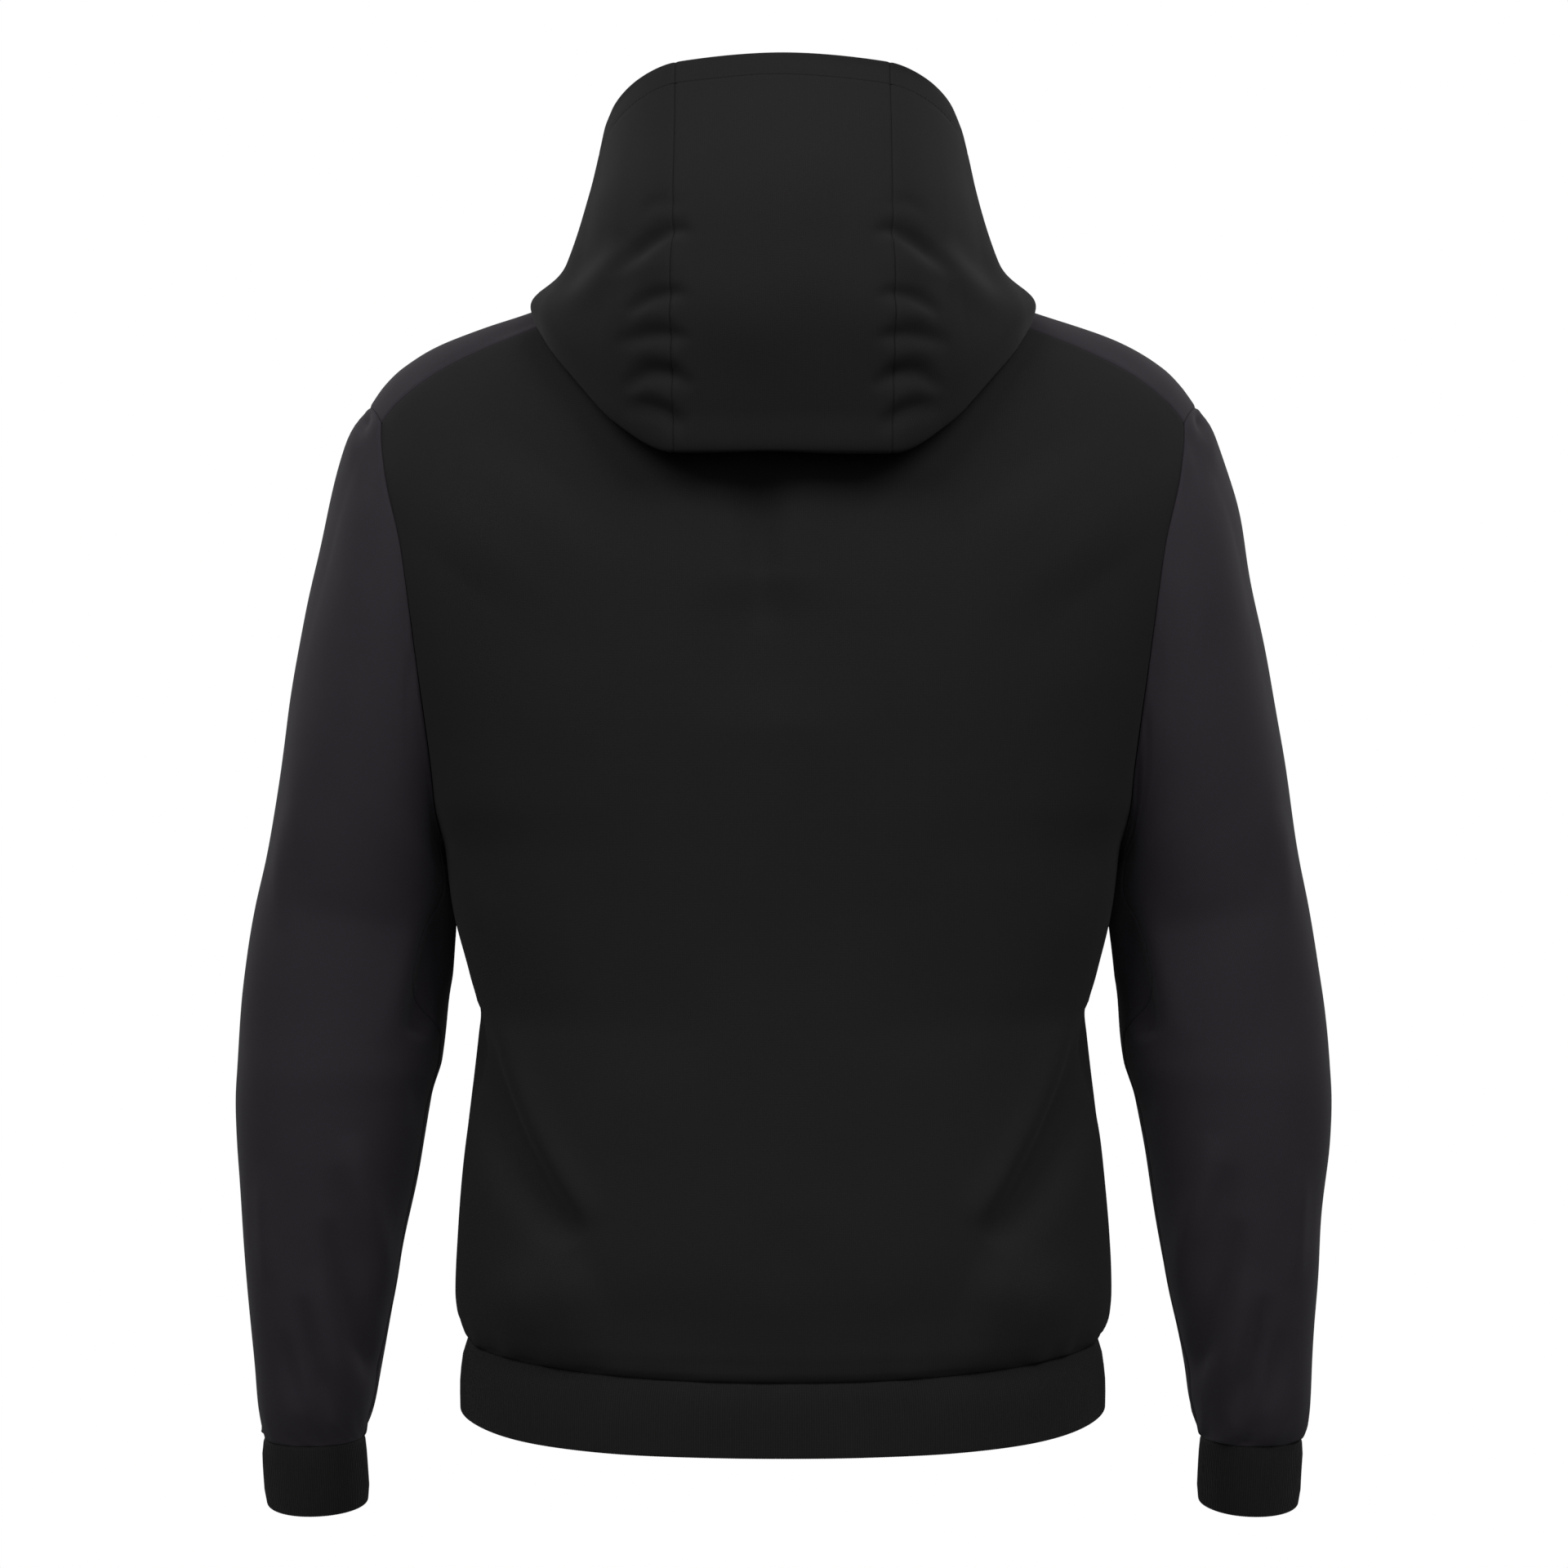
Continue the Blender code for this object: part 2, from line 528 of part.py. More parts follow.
def hem_band(loop):
    """Rings of the hem rib, hanging from the body's lower edge and a little wider below."""
    profile = table("along size", (0.0, 1.000), (0.25, 1.018), (0.65, 1.026), (1.0, 1.026))
    rings = []
    for along, size in zip(*profile.values()):
        ring = loop * np.array([size, size, 1.0])
        ring[:, 2] += (HEM_Z - ring[:, 2]) * along
        rings.append(ring)
    return np.array(rings)


def through_guides(guides, rows):
    """Smooth profiles through each column's guide points; rows counts the quads between guides."""
    gaps = np.linalg.norm(np.diff(guides, axis=0), axis=-1, keepdims=True)
    chords = np.diff(guides, axis=0) / gaps
    inner = (chords[:-1] * gaps[1:] + chords[1:] * gaps[:-1]) / (gaps[:-1] + gaps[1:])
    slopes = np.concatenate((chords[:1], inner, chords[-1:]))
    lines = []
    for k, count in enumerate(rows):
        t = np.linspace(0.0, 1.0, count + 1)[:-1, None, None]
        start = guides[k] * (1 + 2 * t) * (1 - t) ** 2 + guides[k + 1] * t ** 2 * (3 - 2 * t)
        bend = slopes[k] * t * (1 - t) ** 2 - slopes[k + 1] * t ** 2 * (1 - t)
        lines.append(start + gaps[k] * bend)
    return np.concatenate(lines + [guides[-1:]])


def left_hood(neck):
    """Half of the hood, rows from the neck seam over the lip to the rim, columns from the back."""
    way = np.concatenate(([0.0], np.cumsum(np.linalg.norm(np.diff(neck, axis=0), axis=1))))
    station = way / way[-1]

    def guide(rows):
        return np.stack([smooth(station, rows["station"], rows[axis]) for axis in "xyz"], axis=-1)

    fold = {key: smooth(station, HOOD_FOLD["station"], HOOD_FOLD[key])[:, None] for key in HOOD_FOLD}
    lip, middle, rim = guide(HOOD_LIP), guide(HOOD_MID), guide(HOOD_RIM)
    up, flat = np.array([0.0, 0.0, 1.0]), np.array([1.0, 1.0, 0.0])
    out = unit((lip - neck) * flat)
    crest = neck + unit(out + unit(neck * flat)) * fold["crest_out"] + up * fold["crest_up"]
    onward = unit(middle - crest) * (1 - fold["folded"])
    inside = lip + fold["radius"] * ((up - out) * fold["folded"] - onward)
    outside = lip + fold["radius"] * ((up + out) * fold["folded"] + onward)
    guides = np.stack((neck, crest, inside, lip, outside, middle, rim))
    guides[:, [0, -1], 0] = 0.0  # both ends stay on the middle plane
    return through_guides(guides, HOOD_ROWS)


def make_material(name):
    """A matt Principled material in one of the garment's colours."""
    colour, roughness = FINISHES[name]
    material = bpy.data.materials.new(name)
    material.use_nodes = True
    shader = material.node_tree.nodes["Principled BSDF"]
    shader.inputs["Base Color"].default_value = (*colour, 1.0)
    shader.inputs["Roughness"].default_value = roughness
    shader.inputs["Metallic"].default_value = 0.0
    return material


def add_body(back, front, shoulder, fleece, plum):
    """Back, front and shoulder panels; gives back the neck edge that the hood is sewn on."""
    grids = [both_halves(back), both_halves(front), shoulder, mirrored(shoulder)]
    normals = shared_normals(grids, upright_axis)
    for name, grid, normal, folds, material in (
        ("back_panel", grids[0], normals[0], BACK_FOLDS, fleece),
        ("front_panel", grids[1], normals[1], FRONT_FOLDS, fleece),
    ):
        height = fold_height(folds, np.abs(grid[..., 0]), grid[..., 2]) * seam_ease(grid)
        add_piece(name, grid + normal * height[..., None], normal, FLEECE_WALL, material)
    add_piece("shoulder_panel_left", grids[2], normals[2], FLEECE_WALL, plum)
    add_piece("shoulder_panel_right", grids[3], normals[3], FLEECE_WALL, plum)
    middle = NECK_QUADS + SHOULDER_QUADS
    lift = neck_edge(normals[0][:, middle:], normals[1][:, middle:], normals[2])
    return neck_edge(back, front, shoulder) + NECK_LIFT * lift


def add_sleeves(armhole, plum, rib):
    """Sleeves and cuffs on both sides."""
    sleeve = left_sleeve(armhole)
    normal = shared_normals([sleeve], ring_middles)[0]
    reach = np.arange(len(sleeve))[:, None, None]
    ease = np.clip(reach / SLEEVE_HEAD_EASE_QUADS, 0.0, 1.0)
    ease = ease * np.clip((len(sleeve) - 1 - reach) / CUFF_SEAM_EASE_QUADS, 0.0, 1.0)
    shaped = sleeve + (folded(sleeve, normal, SLEEVE_BACK_FOLDS, SLEEVE_FRONT_FOLDS) - sleeve) * ease
    cuff = left_cuff(sleeve[-1])
    cuff_normal = shared_normals([cuff], ring_middles)[0]
    flip = np.array([-1.0, 1.0, 1.0])
    for side, turn in (("left", np.ones(3)), ("right", flip)):
        add_piece(f"sleeve_{side}", shaped * turn, normal * turn, FLEECE_WALL, plum, tube=True)
        add_piece(f"cuff_{side}", cuff * turn, cuff_normal * turn, RIB_WALL, rib, tube=True)


def neck_edge(back, front, shoulder):
    """What the left half of the neck edge has, from the middle of the back to that of the front."""
    return np.concatenate((back[-1, :NECK_QUADS + 1], shoulder[1:, 0], front[-1, :NECK_QUADS][::-1]))


def add_hood(neck, fleece):
    """Centre and side panels of the hood on the neck edge."""
    hood = left_hood(neck)
    centre = both_halves(hood[:, :CENTRE_PANEL_QUADS + 1])
    side = hood[:, CENTRE_PANEL_QUADS:]
    grids = [centre, side, mirrored(side)]
    normals = shared_normals(grids, profile_middles)
    names = ("hood_centre", "hood_side_left", "hood_side_right")
    for name, grid, normal in zip(names, grids, normals):
        add_piece(name, folded(grid, normal, HOOD_FOLDS, HOOD_FRONT_FOLDS), normal, FLEECE_WALL, fleece)


def main():
    """Clear the scene and build the hoodie's pieces."""
    for old in list(bpy.data.objects):
        bpy.data.objects.remove(old)
    collection = bpy.data.collections.new(COLLECTION)
    bpy.context.scene.collection.children.link(collection)
    fleece, plum, rib = (make_material(name) for name in FINISHES)
    back, front = body_panel(1.0), body_panel(-1.0)
    shoulder = shoulder_panel(back, front)
    add_hood(add_body(back, front, shoulder, fleece, plum), fleece)
    add_sleeves(armhole_loop(back, front, shoulder), plum, rib)
    band = hem_band(hem_ring(back, front))
    band_normal = shared_normals([band], upright_axis)[0]
    add_piece("hem_rib", band, band_normal, RIB_WALL, rib, tube=True)


main()
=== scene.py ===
"""Looks of the pullover hoodie: fine cloth with its creases, gathers, ribs and sewing.

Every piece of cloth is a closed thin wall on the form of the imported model's node that it replaces,
worked out on a grid of two parameters. Units are metres, but the tables give lengths in
millimetres. +Z is up, the front faces -Y, the wearer's left is +X, the origin is the neck's middle.
"""

import logging
import math
from dataclasses import dataclass, replace
from enum import Enum

import bpy
import numpy as np
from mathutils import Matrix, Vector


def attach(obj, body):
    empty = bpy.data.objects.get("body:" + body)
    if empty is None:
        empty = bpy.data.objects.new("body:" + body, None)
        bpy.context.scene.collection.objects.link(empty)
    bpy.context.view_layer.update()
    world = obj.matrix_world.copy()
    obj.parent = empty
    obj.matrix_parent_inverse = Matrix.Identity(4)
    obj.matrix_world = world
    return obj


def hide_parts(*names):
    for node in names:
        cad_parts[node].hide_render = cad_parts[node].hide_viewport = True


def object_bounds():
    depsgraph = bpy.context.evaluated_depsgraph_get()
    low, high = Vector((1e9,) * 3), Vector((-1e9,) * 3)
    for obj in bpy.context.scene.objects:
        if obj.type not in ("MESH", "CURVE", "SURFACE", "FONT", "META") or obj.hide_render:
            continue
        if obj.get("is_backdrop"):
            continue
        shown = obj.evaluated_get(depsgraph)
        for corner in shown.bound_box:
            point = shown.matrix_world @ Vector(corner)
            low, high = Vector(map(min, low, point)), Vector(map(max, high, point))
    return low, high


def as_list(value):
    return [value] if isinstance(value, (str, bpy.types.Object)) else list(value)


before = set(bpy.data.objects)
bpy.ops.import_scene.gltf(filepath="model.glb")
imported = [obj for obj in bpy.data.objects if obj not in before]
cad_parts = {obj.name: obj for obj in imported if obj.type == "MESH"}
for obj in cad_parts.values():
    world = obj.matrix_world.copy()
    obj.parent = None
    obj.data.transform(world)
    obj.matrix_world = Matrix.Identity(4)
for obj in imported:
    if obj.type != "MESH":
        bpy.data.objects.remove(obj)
CAD_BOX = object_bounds()

LOG = logging.getLogger("hoodie")
Array = np.ndarray
Rows = dict[str, Array]
Piece = bpy.types.Object
Socket = bpy.types.NodeSocket
MIRROR = np.array([-1.0, 1.0, 1.0])
UPRIGHT = np.array([0.0, 0.0, 1.0])
LEVEL = np.array([1.0, 1.0, 0.0])
SIDES = (("left", np.ones(3)), ("right", MIRROR))


# ---------------------------------------------------------------- numbers along curves

SHARES = ("station", "turn", "armhole_share", "folded", "along", "size")


def table(columns: str, *rows: tuple[float, ...]) -> Rows:
    """Named columns as arrays, in metres but for those that hold shares.

    Args:
        columns: the columns' names, parted by spaces.
        rows: one tuple for each section or fold, with its lengths in millimetres.

    Returns:
        Each column's numbers by its name.
    """
    return {name: column if name in SHARES else column / 1000
            for name, column in zip(columns.split(), np.array(rows, dtype=float).T)}


def unit(vectors: Array) -> Array:
    """Vectors of length 1."""
    return vectors / np.linalg.norm(vectors, axis=-1, keepdims=True)


def ease(reach: Array, length: float) -> Array:
    """0 at a seam, 1 from `length` on, with a smooth start and end."""
    share = np.clip(reach / length, 0.0, 1.0)
    return share * share * (3 - 2 * share)


def bell(away: Array, width: Array | float) -> Array:
    """1 where `away` is 0, falling off on both sides as exp(-(away / width) ** 2)."""
    return np.exp(-(away / width) ** 2)


def cubic(t: Array, start: Array, end: Array, leaves: Array, arrives: Array) -> Array:
    """A cubic curve at share t, from its ends and its slopes there."""
    ends = start * (1 + 2 * t) * (1 - t) ** 2 + end * t ** 2 * (3 - 2 * t)
    return ends + leaves * t * (1 - t) ** 2 - arrives * t ** 2 * (1 - t)


def smooth(at: Array | float, xs: Array, ys: Array) -> Array:
    """Read a smooth curve that never overshoots its rows: monotone cubic interpolation.

    Args:
        at: where to read it.
        xs: the rows' places, rising.
        ys: the rows' values.

    Returns:
        The values at those places.
    """
    step = np.diff(xs)
    rise = np.diff(ys) / step
    before, after = rise[:-1], rise[1:]
    turns = before * after <= 0
    mean = 2 * before * after / np.where(turns, 1.0, before + after)
    slope = np.concatenate(([rise[0]], np.where(turns, 0.0, mean), [rise[-1]]))
    at = np.clip(at, xs[0], xs[-1])
    k = np.clip(np.searchsorted(xs, at, side="right") - 1, 0, len(step) - 1)
    return cubic((at - xs[k]) / step[k], ys[k], ys[k + 1], step[k] * slope[k], step[k] * slope[k + 1])


def read(rows: Rows, column: str, at: Array | float) -> Array:
    """A table's column, read smoothly at some places in its first column."""
    return smooth(at, next(iter(rows.values())), rows[column])


def running_length(points: Array) -> Array:
    """Length along a line of points, from its first point to each."""
    steps = np.linalg.norm(np.diff(points, axis=0), axis=-1)
    return np.concatenate(([0.0], np.cumsum(steps)))


def along_line(points: Array, way: Array, at: Array) -> Array:
    """Read a line of points, at `way` along it, at other lengths."""
    return np.stack([np.interp(at, way, points[:, k]) for k in range(3)], axis=-1)


def evenly(points: Array, count: int) -> Array:
    """The same line as so many points that lie evenly along it."""
    way = running_length(points)
    return along_line(points, way, np.linspace(0.0, way[-1], count))


EDGE_STEPS = np.array([0.0, 0.0003, 0.0007, 0.0012, 0.0018, 0.0026, 0.0036, 0.0050])
RIB_EDGE_STEPS = np.array([0.0, 0.0005, 0.0012, 0.0024])


def spaced(length: float, step: float, start: bool = True, end: bool = True, edge: Array = EDGE_STEPS) -> Array:
    """Shares of a length, close together near its sewn ends and evenly spaced between.

    Args:
        length: the length in metres.
        step: about how far apart the places are, in metres.
        start: whether the places crowd together at the start.
        end: whether they crowd together at the end.
        edge: the places next to such an end, in metres from it.

    Returns:
        Rising numbers from 0 to 1.
    """
    first = edge if start else np.zeros(1)
    last = length - (edge[::-1] if end else np.zeros(1))
    count = max(2, round((last[0] - first[-1]) / step) + 1)
    middle = np.linspace(first[-1], last[0], count)[1:-1]
    return np.concatenate((first, middle, last)) / length


# ---------------------------------------------------------------- grids of cloth

def both_halves(grid: Array) -> Array:
    """Join a grid that starts on the middle plane to its mirror image, from right to left."""
    return np.concatenate(((grid * MIRROR)[:, :0:-1], grid), axis=1)


def closed(grid: Array) -> Array:
    """A grid with its first column again after its last."""
    return np.concatenate((grid, grid[:, :1]), axis=1)


def skin(ids: Array) -> Array:
    """A grid's quads, as the point numbers at their corners."""
    return np.stack((ids[:-1, :-1], ids[:-1, 1:], ids[1:, 1:], ids[1:, :-1]), axis=-1).reshape(-1, 4)


def grid_normals(grid: Array, core: Array, tube: bool) -> Array:
    """Normals square to both directions of a grid, pointing away from its core.

    Args:
        grid: points, rows by columns.
        core: points that the grid runs round, of a shape that fits the grid's.
        tube: whether the last column lies on the first.

    Returns:
        One unit vector for each point.
    """
    if tube:
        ring = grid[:, :-1]
        across = closed(np.roll(ring, -1, axis=1) - np.roll(ring, 1, axis=1))
    else:
        across = np.gradient(grid, axis=1)
    normals = unit(np.cross(np.gradient(grid, axis=0), across))
    return normals if np.sum(normals * (grid - core)) > 0 else -normals


def reach_from_edges(grid: Array) -> tuple[Array, Array, Array, Array]:
    """How far each point lies along the cloth from the first row, last row, first and last column."""
    down, across = (np.linalg.norm(np.diff(grid, axis=axis), axis=-1) for axis in (0, 1))
    from_first = np.pad(np.cumsum(down, axis=0), ((1, 0), (0, 0)))
    from_left = np.pad(np.cumsum(across, axis=1), ((0, 0), (1, 0)))
    return from_first, from_first[-1:] - from_first, from_left, from_left[:, -1:] - from_left


def from_column(lengths: Array, column: int) -> Array:
    """Lengths along each row, counted from one column."""
    return lengths - lengths[:, column][:, None]


# ---------------------------------------------------------------- walls

class Edge(Enum):
    """How an edge of a piece is finished."""

    SEAM = "sewn to its neighbour, in a shallow groove"
    TURNED = "turned in and rounded"


SEWN = (Edge.SEAM,) * 4
ONE_TURNED = (Edge.SEAM, Edge.TURNED, Edge.SEAM, Edge.SEAM)


@dataclass(frozen=True)
class Cut:
    """The flat piece of cloth as it is cut, and how it is held."""

    width: float
    length: float
    area: float
    held: str
    rests_on: tuple[str, ...]


@dataclass
class Wall:
    """One piece of cloth: a closed wall between an outer grid and the same grid moved inwards."""

    name: str
    node: str
    grid: Array
    core: Array
    thickness: float
    cut: Cut
    tube: bool = False
    edges: tuple[Edge, ...] = SEWN
    relief: Array | float = 0.0
    texture: Array | float = 0.0
    inner_extra: Array | float = 0.0
    inner_step: int = 1
    inner_ends: int = 9
    square_ends: tuple[tuple[int, Array], ...] = ()
    rib_width: float = 0.0
    line: Array | float = 1.0

    SEAM_DEPTH = 0.0005
    SEAM_REACH = 0.0011
    SQUARE_REACH = 0.006
    ROUNDING = 0.9      # a turned edge's drop, as a share of half the thickness

    def __post_init__(self) -> None:
        """Work out how far each point is from the edges, and the normals.

        Near an end in square_ends, given as its edge's number and an axis, the normals turn square
        to that axis, so that the walls on both sides of the seam meet.
        """
        self.reaches = reach_from_edges(self.grid)
        self.normals = grid_normals(self.grid, self.core, self.tube)
        self.open_edges = list(zip(self.edges, self.reaches))[:2 if self.tube else 4]
        for edge, axis in self.square_ends:
            left = 1.0 - ease(self.reaches[edge], self.SQUARE_REACH)
            self.normals = unit(self.normals - (self.normals @ axis * left)[..., None] * axis)

    def calm(self, relief: Array, *lengths: float) -> Array:
        """A relief that comes to 0 at the edges, over one length for each of the first ones."""
        return relief * math.prod(ease(reach, length) for reach, length in zip(self.reaches, lengths))

    def sunk(self) -> tuple[Array, Array]:
        """How far the outer and the inner face draw in near the edges.

        A seam's groove falls off as a bell. A turned edge is half a circle across the thickness.
        """
        outer, inner = np.zeros((2, *self.grid.shape[:2]))
        radius = self.thickness / 2
        for edge, reach in self.open_edges:
            if edge is Edge.SEAM:
                outer += self.SEAM_DEPTH * bell(reach, self.SEAM_REACH)
            else:
                past = 1.0 - np.clip(reach / radius, 0.0, 1.0)
                drop = self.ROUNDING * radius * (1.0 - np.sqrt(1.0 - past ** 2))
                outer += drop
                inner += drop
        return outer, inner

    def faces(self, rows: int, columns: int, joined: bool) -> list[Array]:
        """The wall's faces as point numbers: outer face, inner face and the rims between.

        Args:
            rows: how many rows the outer grid has.
            columns: how many columns both grids have.
            joined: whether the last column is joined to the first.

        Returns:
            An array of quads and, for a wall with side edges, one of triangles.
        """
        kept = self.inner_rows(rows)
        outer = np.arange(rows * columns).reshape(rows, columns)
        inner = np.arange(len(kept) * columns).reshape(-1, columns) + rows * columns
        if joined:
            outer, inner = closed(outer), closed(inner)
        quads = [skin(outer), skin(inner)[:, ::-1], rim(outer[0], inner[0]), rim(inner[-1], outer[-1])]
        if self.tube:
            return [np.concatenate(quads)]
        left = side_rim(outer[:, 0], inner[:, 0], kept)
        right = [part[:, ::-1] for part in side_rim(outer[:, -1], inner[:, -1], kept)]
        return [np.concatenate((*quads, left[0], right[0])), np.concatenate((left[1], right[1]))]

    def build(self, finish: "Finish") -> Piece:
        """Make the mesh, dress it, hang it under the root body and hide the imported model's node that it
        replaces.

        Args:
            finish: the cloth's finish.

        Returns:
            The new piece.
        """
        outer_sink, inner_sink = self.sunk()
        outer = self.grid + self.normals * (self.relief + self.texture - outer_sink)[..., None]
        within = self.relief - self.thickness - self.inner_extra + inner_sink
        inner = self.grid + self.normals * within[..., None]
        place = np.stack((from_column(self.reaches[2], outer.shape[1] // 2), self.reaches[0]), axis=-1)
        if self.rib_width:
            place[..., 0] = np.arange(place.shape[1]) * self.rib_width
        marks = self.marks()
        if self.left_handed():
            outer, inner, place, marks = (part[:, ::-1] for part in (outer, inner, place, marks))
        rows, columns = outer.shape[:2]
        kept = self.inner_rows(rows)
        places = np.concatenate((place.reshape(-1, 2), place[kept].reshape(-1, 2)))
        corners = np.concatenate([part.ravel() for part in self.faces(rows, columns, False)])
        if self.tube:
            outer, inner, marks, columns = outer[:, :-1], inner[:, :-1], marks[:, :-1], columns - 1
        faces = [face for part in self.faces(rows, columns, self.tube) for face in part.tolist()]
        points = np.concatenate((outer.reshape(-1, 3), inner[kept].reshape(-1, 3)))
        piece = make_mesh(self.name, points, faces, finish.material(), places[corners])
        marks = np.concatenate((marks.reshape(-1, 3), marks[kept].reshape(-1, 3)))
        # each point's distance from the seams and the sewn line, which the material reads to paint shade along
        # them
        layer = piece.data.attributes.new("SeamShadeReach", "FLOAT_VECTOR", "POINT")
        layer.data.foreach_set("vector", marks.astype(np.float32).ravel())
        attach(piece, "root")
        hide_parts(self.node)
        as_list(self.cut.rests_on)
        LOG.info("%s: %d faces", self.name, len(faces))
        return piece

    def marks(self) -> Array:
        """How far each point is from the nearest seam and from the sewn line within the piece."""
        seam = np.min([reach for edge, reach in self.open_edges if edge is Edge.SEAM], axis=0)
        return np.stack((seam, seam * 0 + self.line, seam * 0), axis=-1)

    def line_at(self, reach: Array, distance: float) -> tuple[Array, Array]:
        """The line on the outer face that keeps a distance from the last row.

        Args:
            reach: how far each point is from the last row.
            distance: the distance.

        Returns:
            A point and a normal for each column.
        """
        face = self.grid + self.normals * (self.relief + self.texture)[..., None]
        columns = np.arange(reach.shape[1])
        above = np.sum(reach >= distance, axis=0) - 1
        near, far = reach[above, columns], reach[above + 1, columns]
        share = ((near - distance) / (near - far))[:, None]
        return tuple(grid[above, columns] * (1 - share) + grid[above + 1, columns] * share
                     for grid in (face, self.normals))

    def inner_rows(self, rows: int) -> Array:
        """Which rows the plain inside keeps: all near the ends, and every so many between."""
        every = np.arange(rows)
        return np.flatnonzero((every % self.inner_step == 0) | (np.minimum(every, every[::-1]) < self.inner_ends))

    def left_handed(self) -> bool:
        """Whether the grid's quads, taken row by row, face away from the normals."""
        face = np.cross(self.grid[:-1, 1:] - self.grid[:-1, :-1], self.grid[1:, :-1] - self.grid[:-1, :-1])
        return bool(np.sum(face * self.normals[:-1, :-1]) < 0)


def rim(near: Array, back: Array) -> Array:
    """Quads between two edges of as many points."""
    return np.stack((near[1:], near[:-1], back[:-1], back[1:]), axis=-1)


def side_rim(outer: Array, inner: Array, kept: Array) -> tuple[Array, Array]:
    """Faces between an outer side edge and an inner one that keeps fewer of its rows.

    An outer step gives a quad where the inner edge steps too, and else a triangle.

    Args:
        outer: the outer edge's point numbers.
        inner: the inner edge's point numbers.
        kept: the rows of the outer edge that the inner one keeps.

    Returns:
        The quads and the triangles.
    """
    step = np.arange(len(outer) - 1)
    before, after = (np.searchsorted(kept, row, side="right") - 1 for row in (step, step + 1))
    moves = after > before
    quads = np.stack((outer[step], outer[step + 1], inner[after], inner[before]), axis=-1)[moves]
    return quads, np.stack((outer[step], outer[step + 1], inner[before]), axis=-1)[~moves]


def make_mesh(name: str, points: Array, faces: list, material: bpy.types.Material,
              places: Array | None = None) -> Piece:
    """Put points and faces into a smooth-shaded mesh, with a UV map in metres of cloth.

    Args:
        name: the piece's name.
        points: its points.
        faces: its faces, as point numbers.
        material: what it is dressed with.
        places: the place on the cloth of each face's corners, or None.

    Returns:
        The new object, at the origin.
    """
    mesh = bpy.data.meshes.new(name)
    mesh.from_pydata(points.tolist(), [], faces)
    if places is not None:
        layer = mesh.uv_layers.new(name="Cloth")
        layer.uv.foreach_set("vector", places.astype(np.float32).ravel())
    mesh.shade_smooth()
    mesh.materials.append(material)
    piece = bpy.data.objects.new(name, mesh)
    bpy.context.scene.collection.objects.link(piece)
    return piece


# ---------------------------------------------------------------- the cut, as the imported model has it

# The form under the cloth, by height: half width of the whole form, x of the panel's edge (side seam,
# then armhole), depth behind and before the side seams.
FORM = table(
    "z reach edge back front",
    (-643.5, 191.5, 191.5, 117, 113),
    (-637.5, 195.5, 195.5, 122.5, 118.5),
    (-627.5, 198.8, 198.8, 126.2, 122),
    (-615.5, 199.8, 199.8, 127.5, 123.2),
    (-580, 198.5, 198.5, 126.2, 123.8),
    (-519.5, 192.8, 192.8, 122.9, 122.8),
    (-459.5, 186.2, 186.2, 120.6, 121.1),
    (-447.5, 184.8, 184.8, 120.3, 120.9),
    (-423.5, 190.8, 190.8, 120.2, 120.8),
    (-387.5, 199.6, 199.6, 121.4, 122),
    (-362.5, 203.8, 203.8, 123, 123.2),
    (-345, 206.2, 206.2, 124.2, 124),
    (-335, 209.2, 207.5, 125, 124.3),
    (-320, 215.5, 208.6, 126.2, 124.6),
    (-300, 221.3, 209.5, 127.6, 124.8),
    (-234, 243.5, 216.2, 131.2, 124.2),
    (-170, 264, 224.6, 132.5, 121.5),
    (-120, 270.5, 237, 132.2, 118.5),
    (-92.5, 270, 240.7, 131.8, 116.5),
    (30, 270, 240.7, 130, 111),
)

# The top of the shoulder, from the neck outwards, and how far below it the shoulder seams lie.
SHOULDER = table(
    "x ridge seam_drop",
    (0, 20, 15),
    (90, 0.5, 15),
    (150, -18.8, 17.8),
    (180, -28.5, 19.8),
    (206, -38.3, 22.8),
    (232, -53.2, 27.2),
    (244, -64.8, 31.2),
    (252.5, -77.5, 33.5),
    (262, -93.5, 35),
)

# Sleeve sections, from the shoulder down: the outer and inner ends of each ring seen from behind, its
# half depth, how far its middle lies behind the side seams, and how much of the armhole's own shape
# is left in it.
SLEEVE = table(
    "outer_x outer_z inner_x inner_z half_depth centre_y armhole_share",
    (252.5, -77.5, 206.2, -345, 74, 0, 1),
    (260, -86.8, 206.8, -346.2, 74.5, -1, 0.96),
    (270, -110, 207, -348.2, 75, -2, 0.88),
    (277.6, -136, 207, -350.5, 75, -3, 0.78),
    (284.8, -173, 206.6, -353.5, 74.5, -5, 0.65),
    (293.5, -213, 205.9, -357.8, 73.5, -7, 0.5),
    (302.6, -258.5, 204.1, -364, 71.5, -10, 0.34),
    (310.4, -308, 202.9, -372.5, 69.5, -16, 0.18),
    (318.6, -351.5, 202.4, -384, 67.5, -22, 0.07),
    (326.2, -383, 203.8, -401, 65.5, -26, 0),
    (331.8, -414, 205.6, -423, 64, -26, 0),
    (335.8, -445, 208.4, -448, 62.5, -26, 0),
    (338.6, -480, 211.8, -479, 61, -26, 0),
    (339.6, -501, 218, -502, 59, -27, 0),
    (338.8, -526, 223.8, -529, 56.5, -28, 0),
    (337.6, -556, 229.8, -559, 54, -31, 0),
    (336, -588, 235.8, -590, 51.2, -34, 0),
    (334.4, -618, 241.6, -620, 48, -37, 0),
    (333, -645, 246.8, -648, 44.8, -41, 0),
    (331.8, -670, 251.4, -673, 41.8, -45, 0),
    (331.1, -693.5, 255.8, -695, 38.5, -49, 0),
    (329.8, -708.5, 260, -709, 34.5, -52, 0),
    (327.2, -719.5, 264.3, -719.5, 29, -54, 0),
)

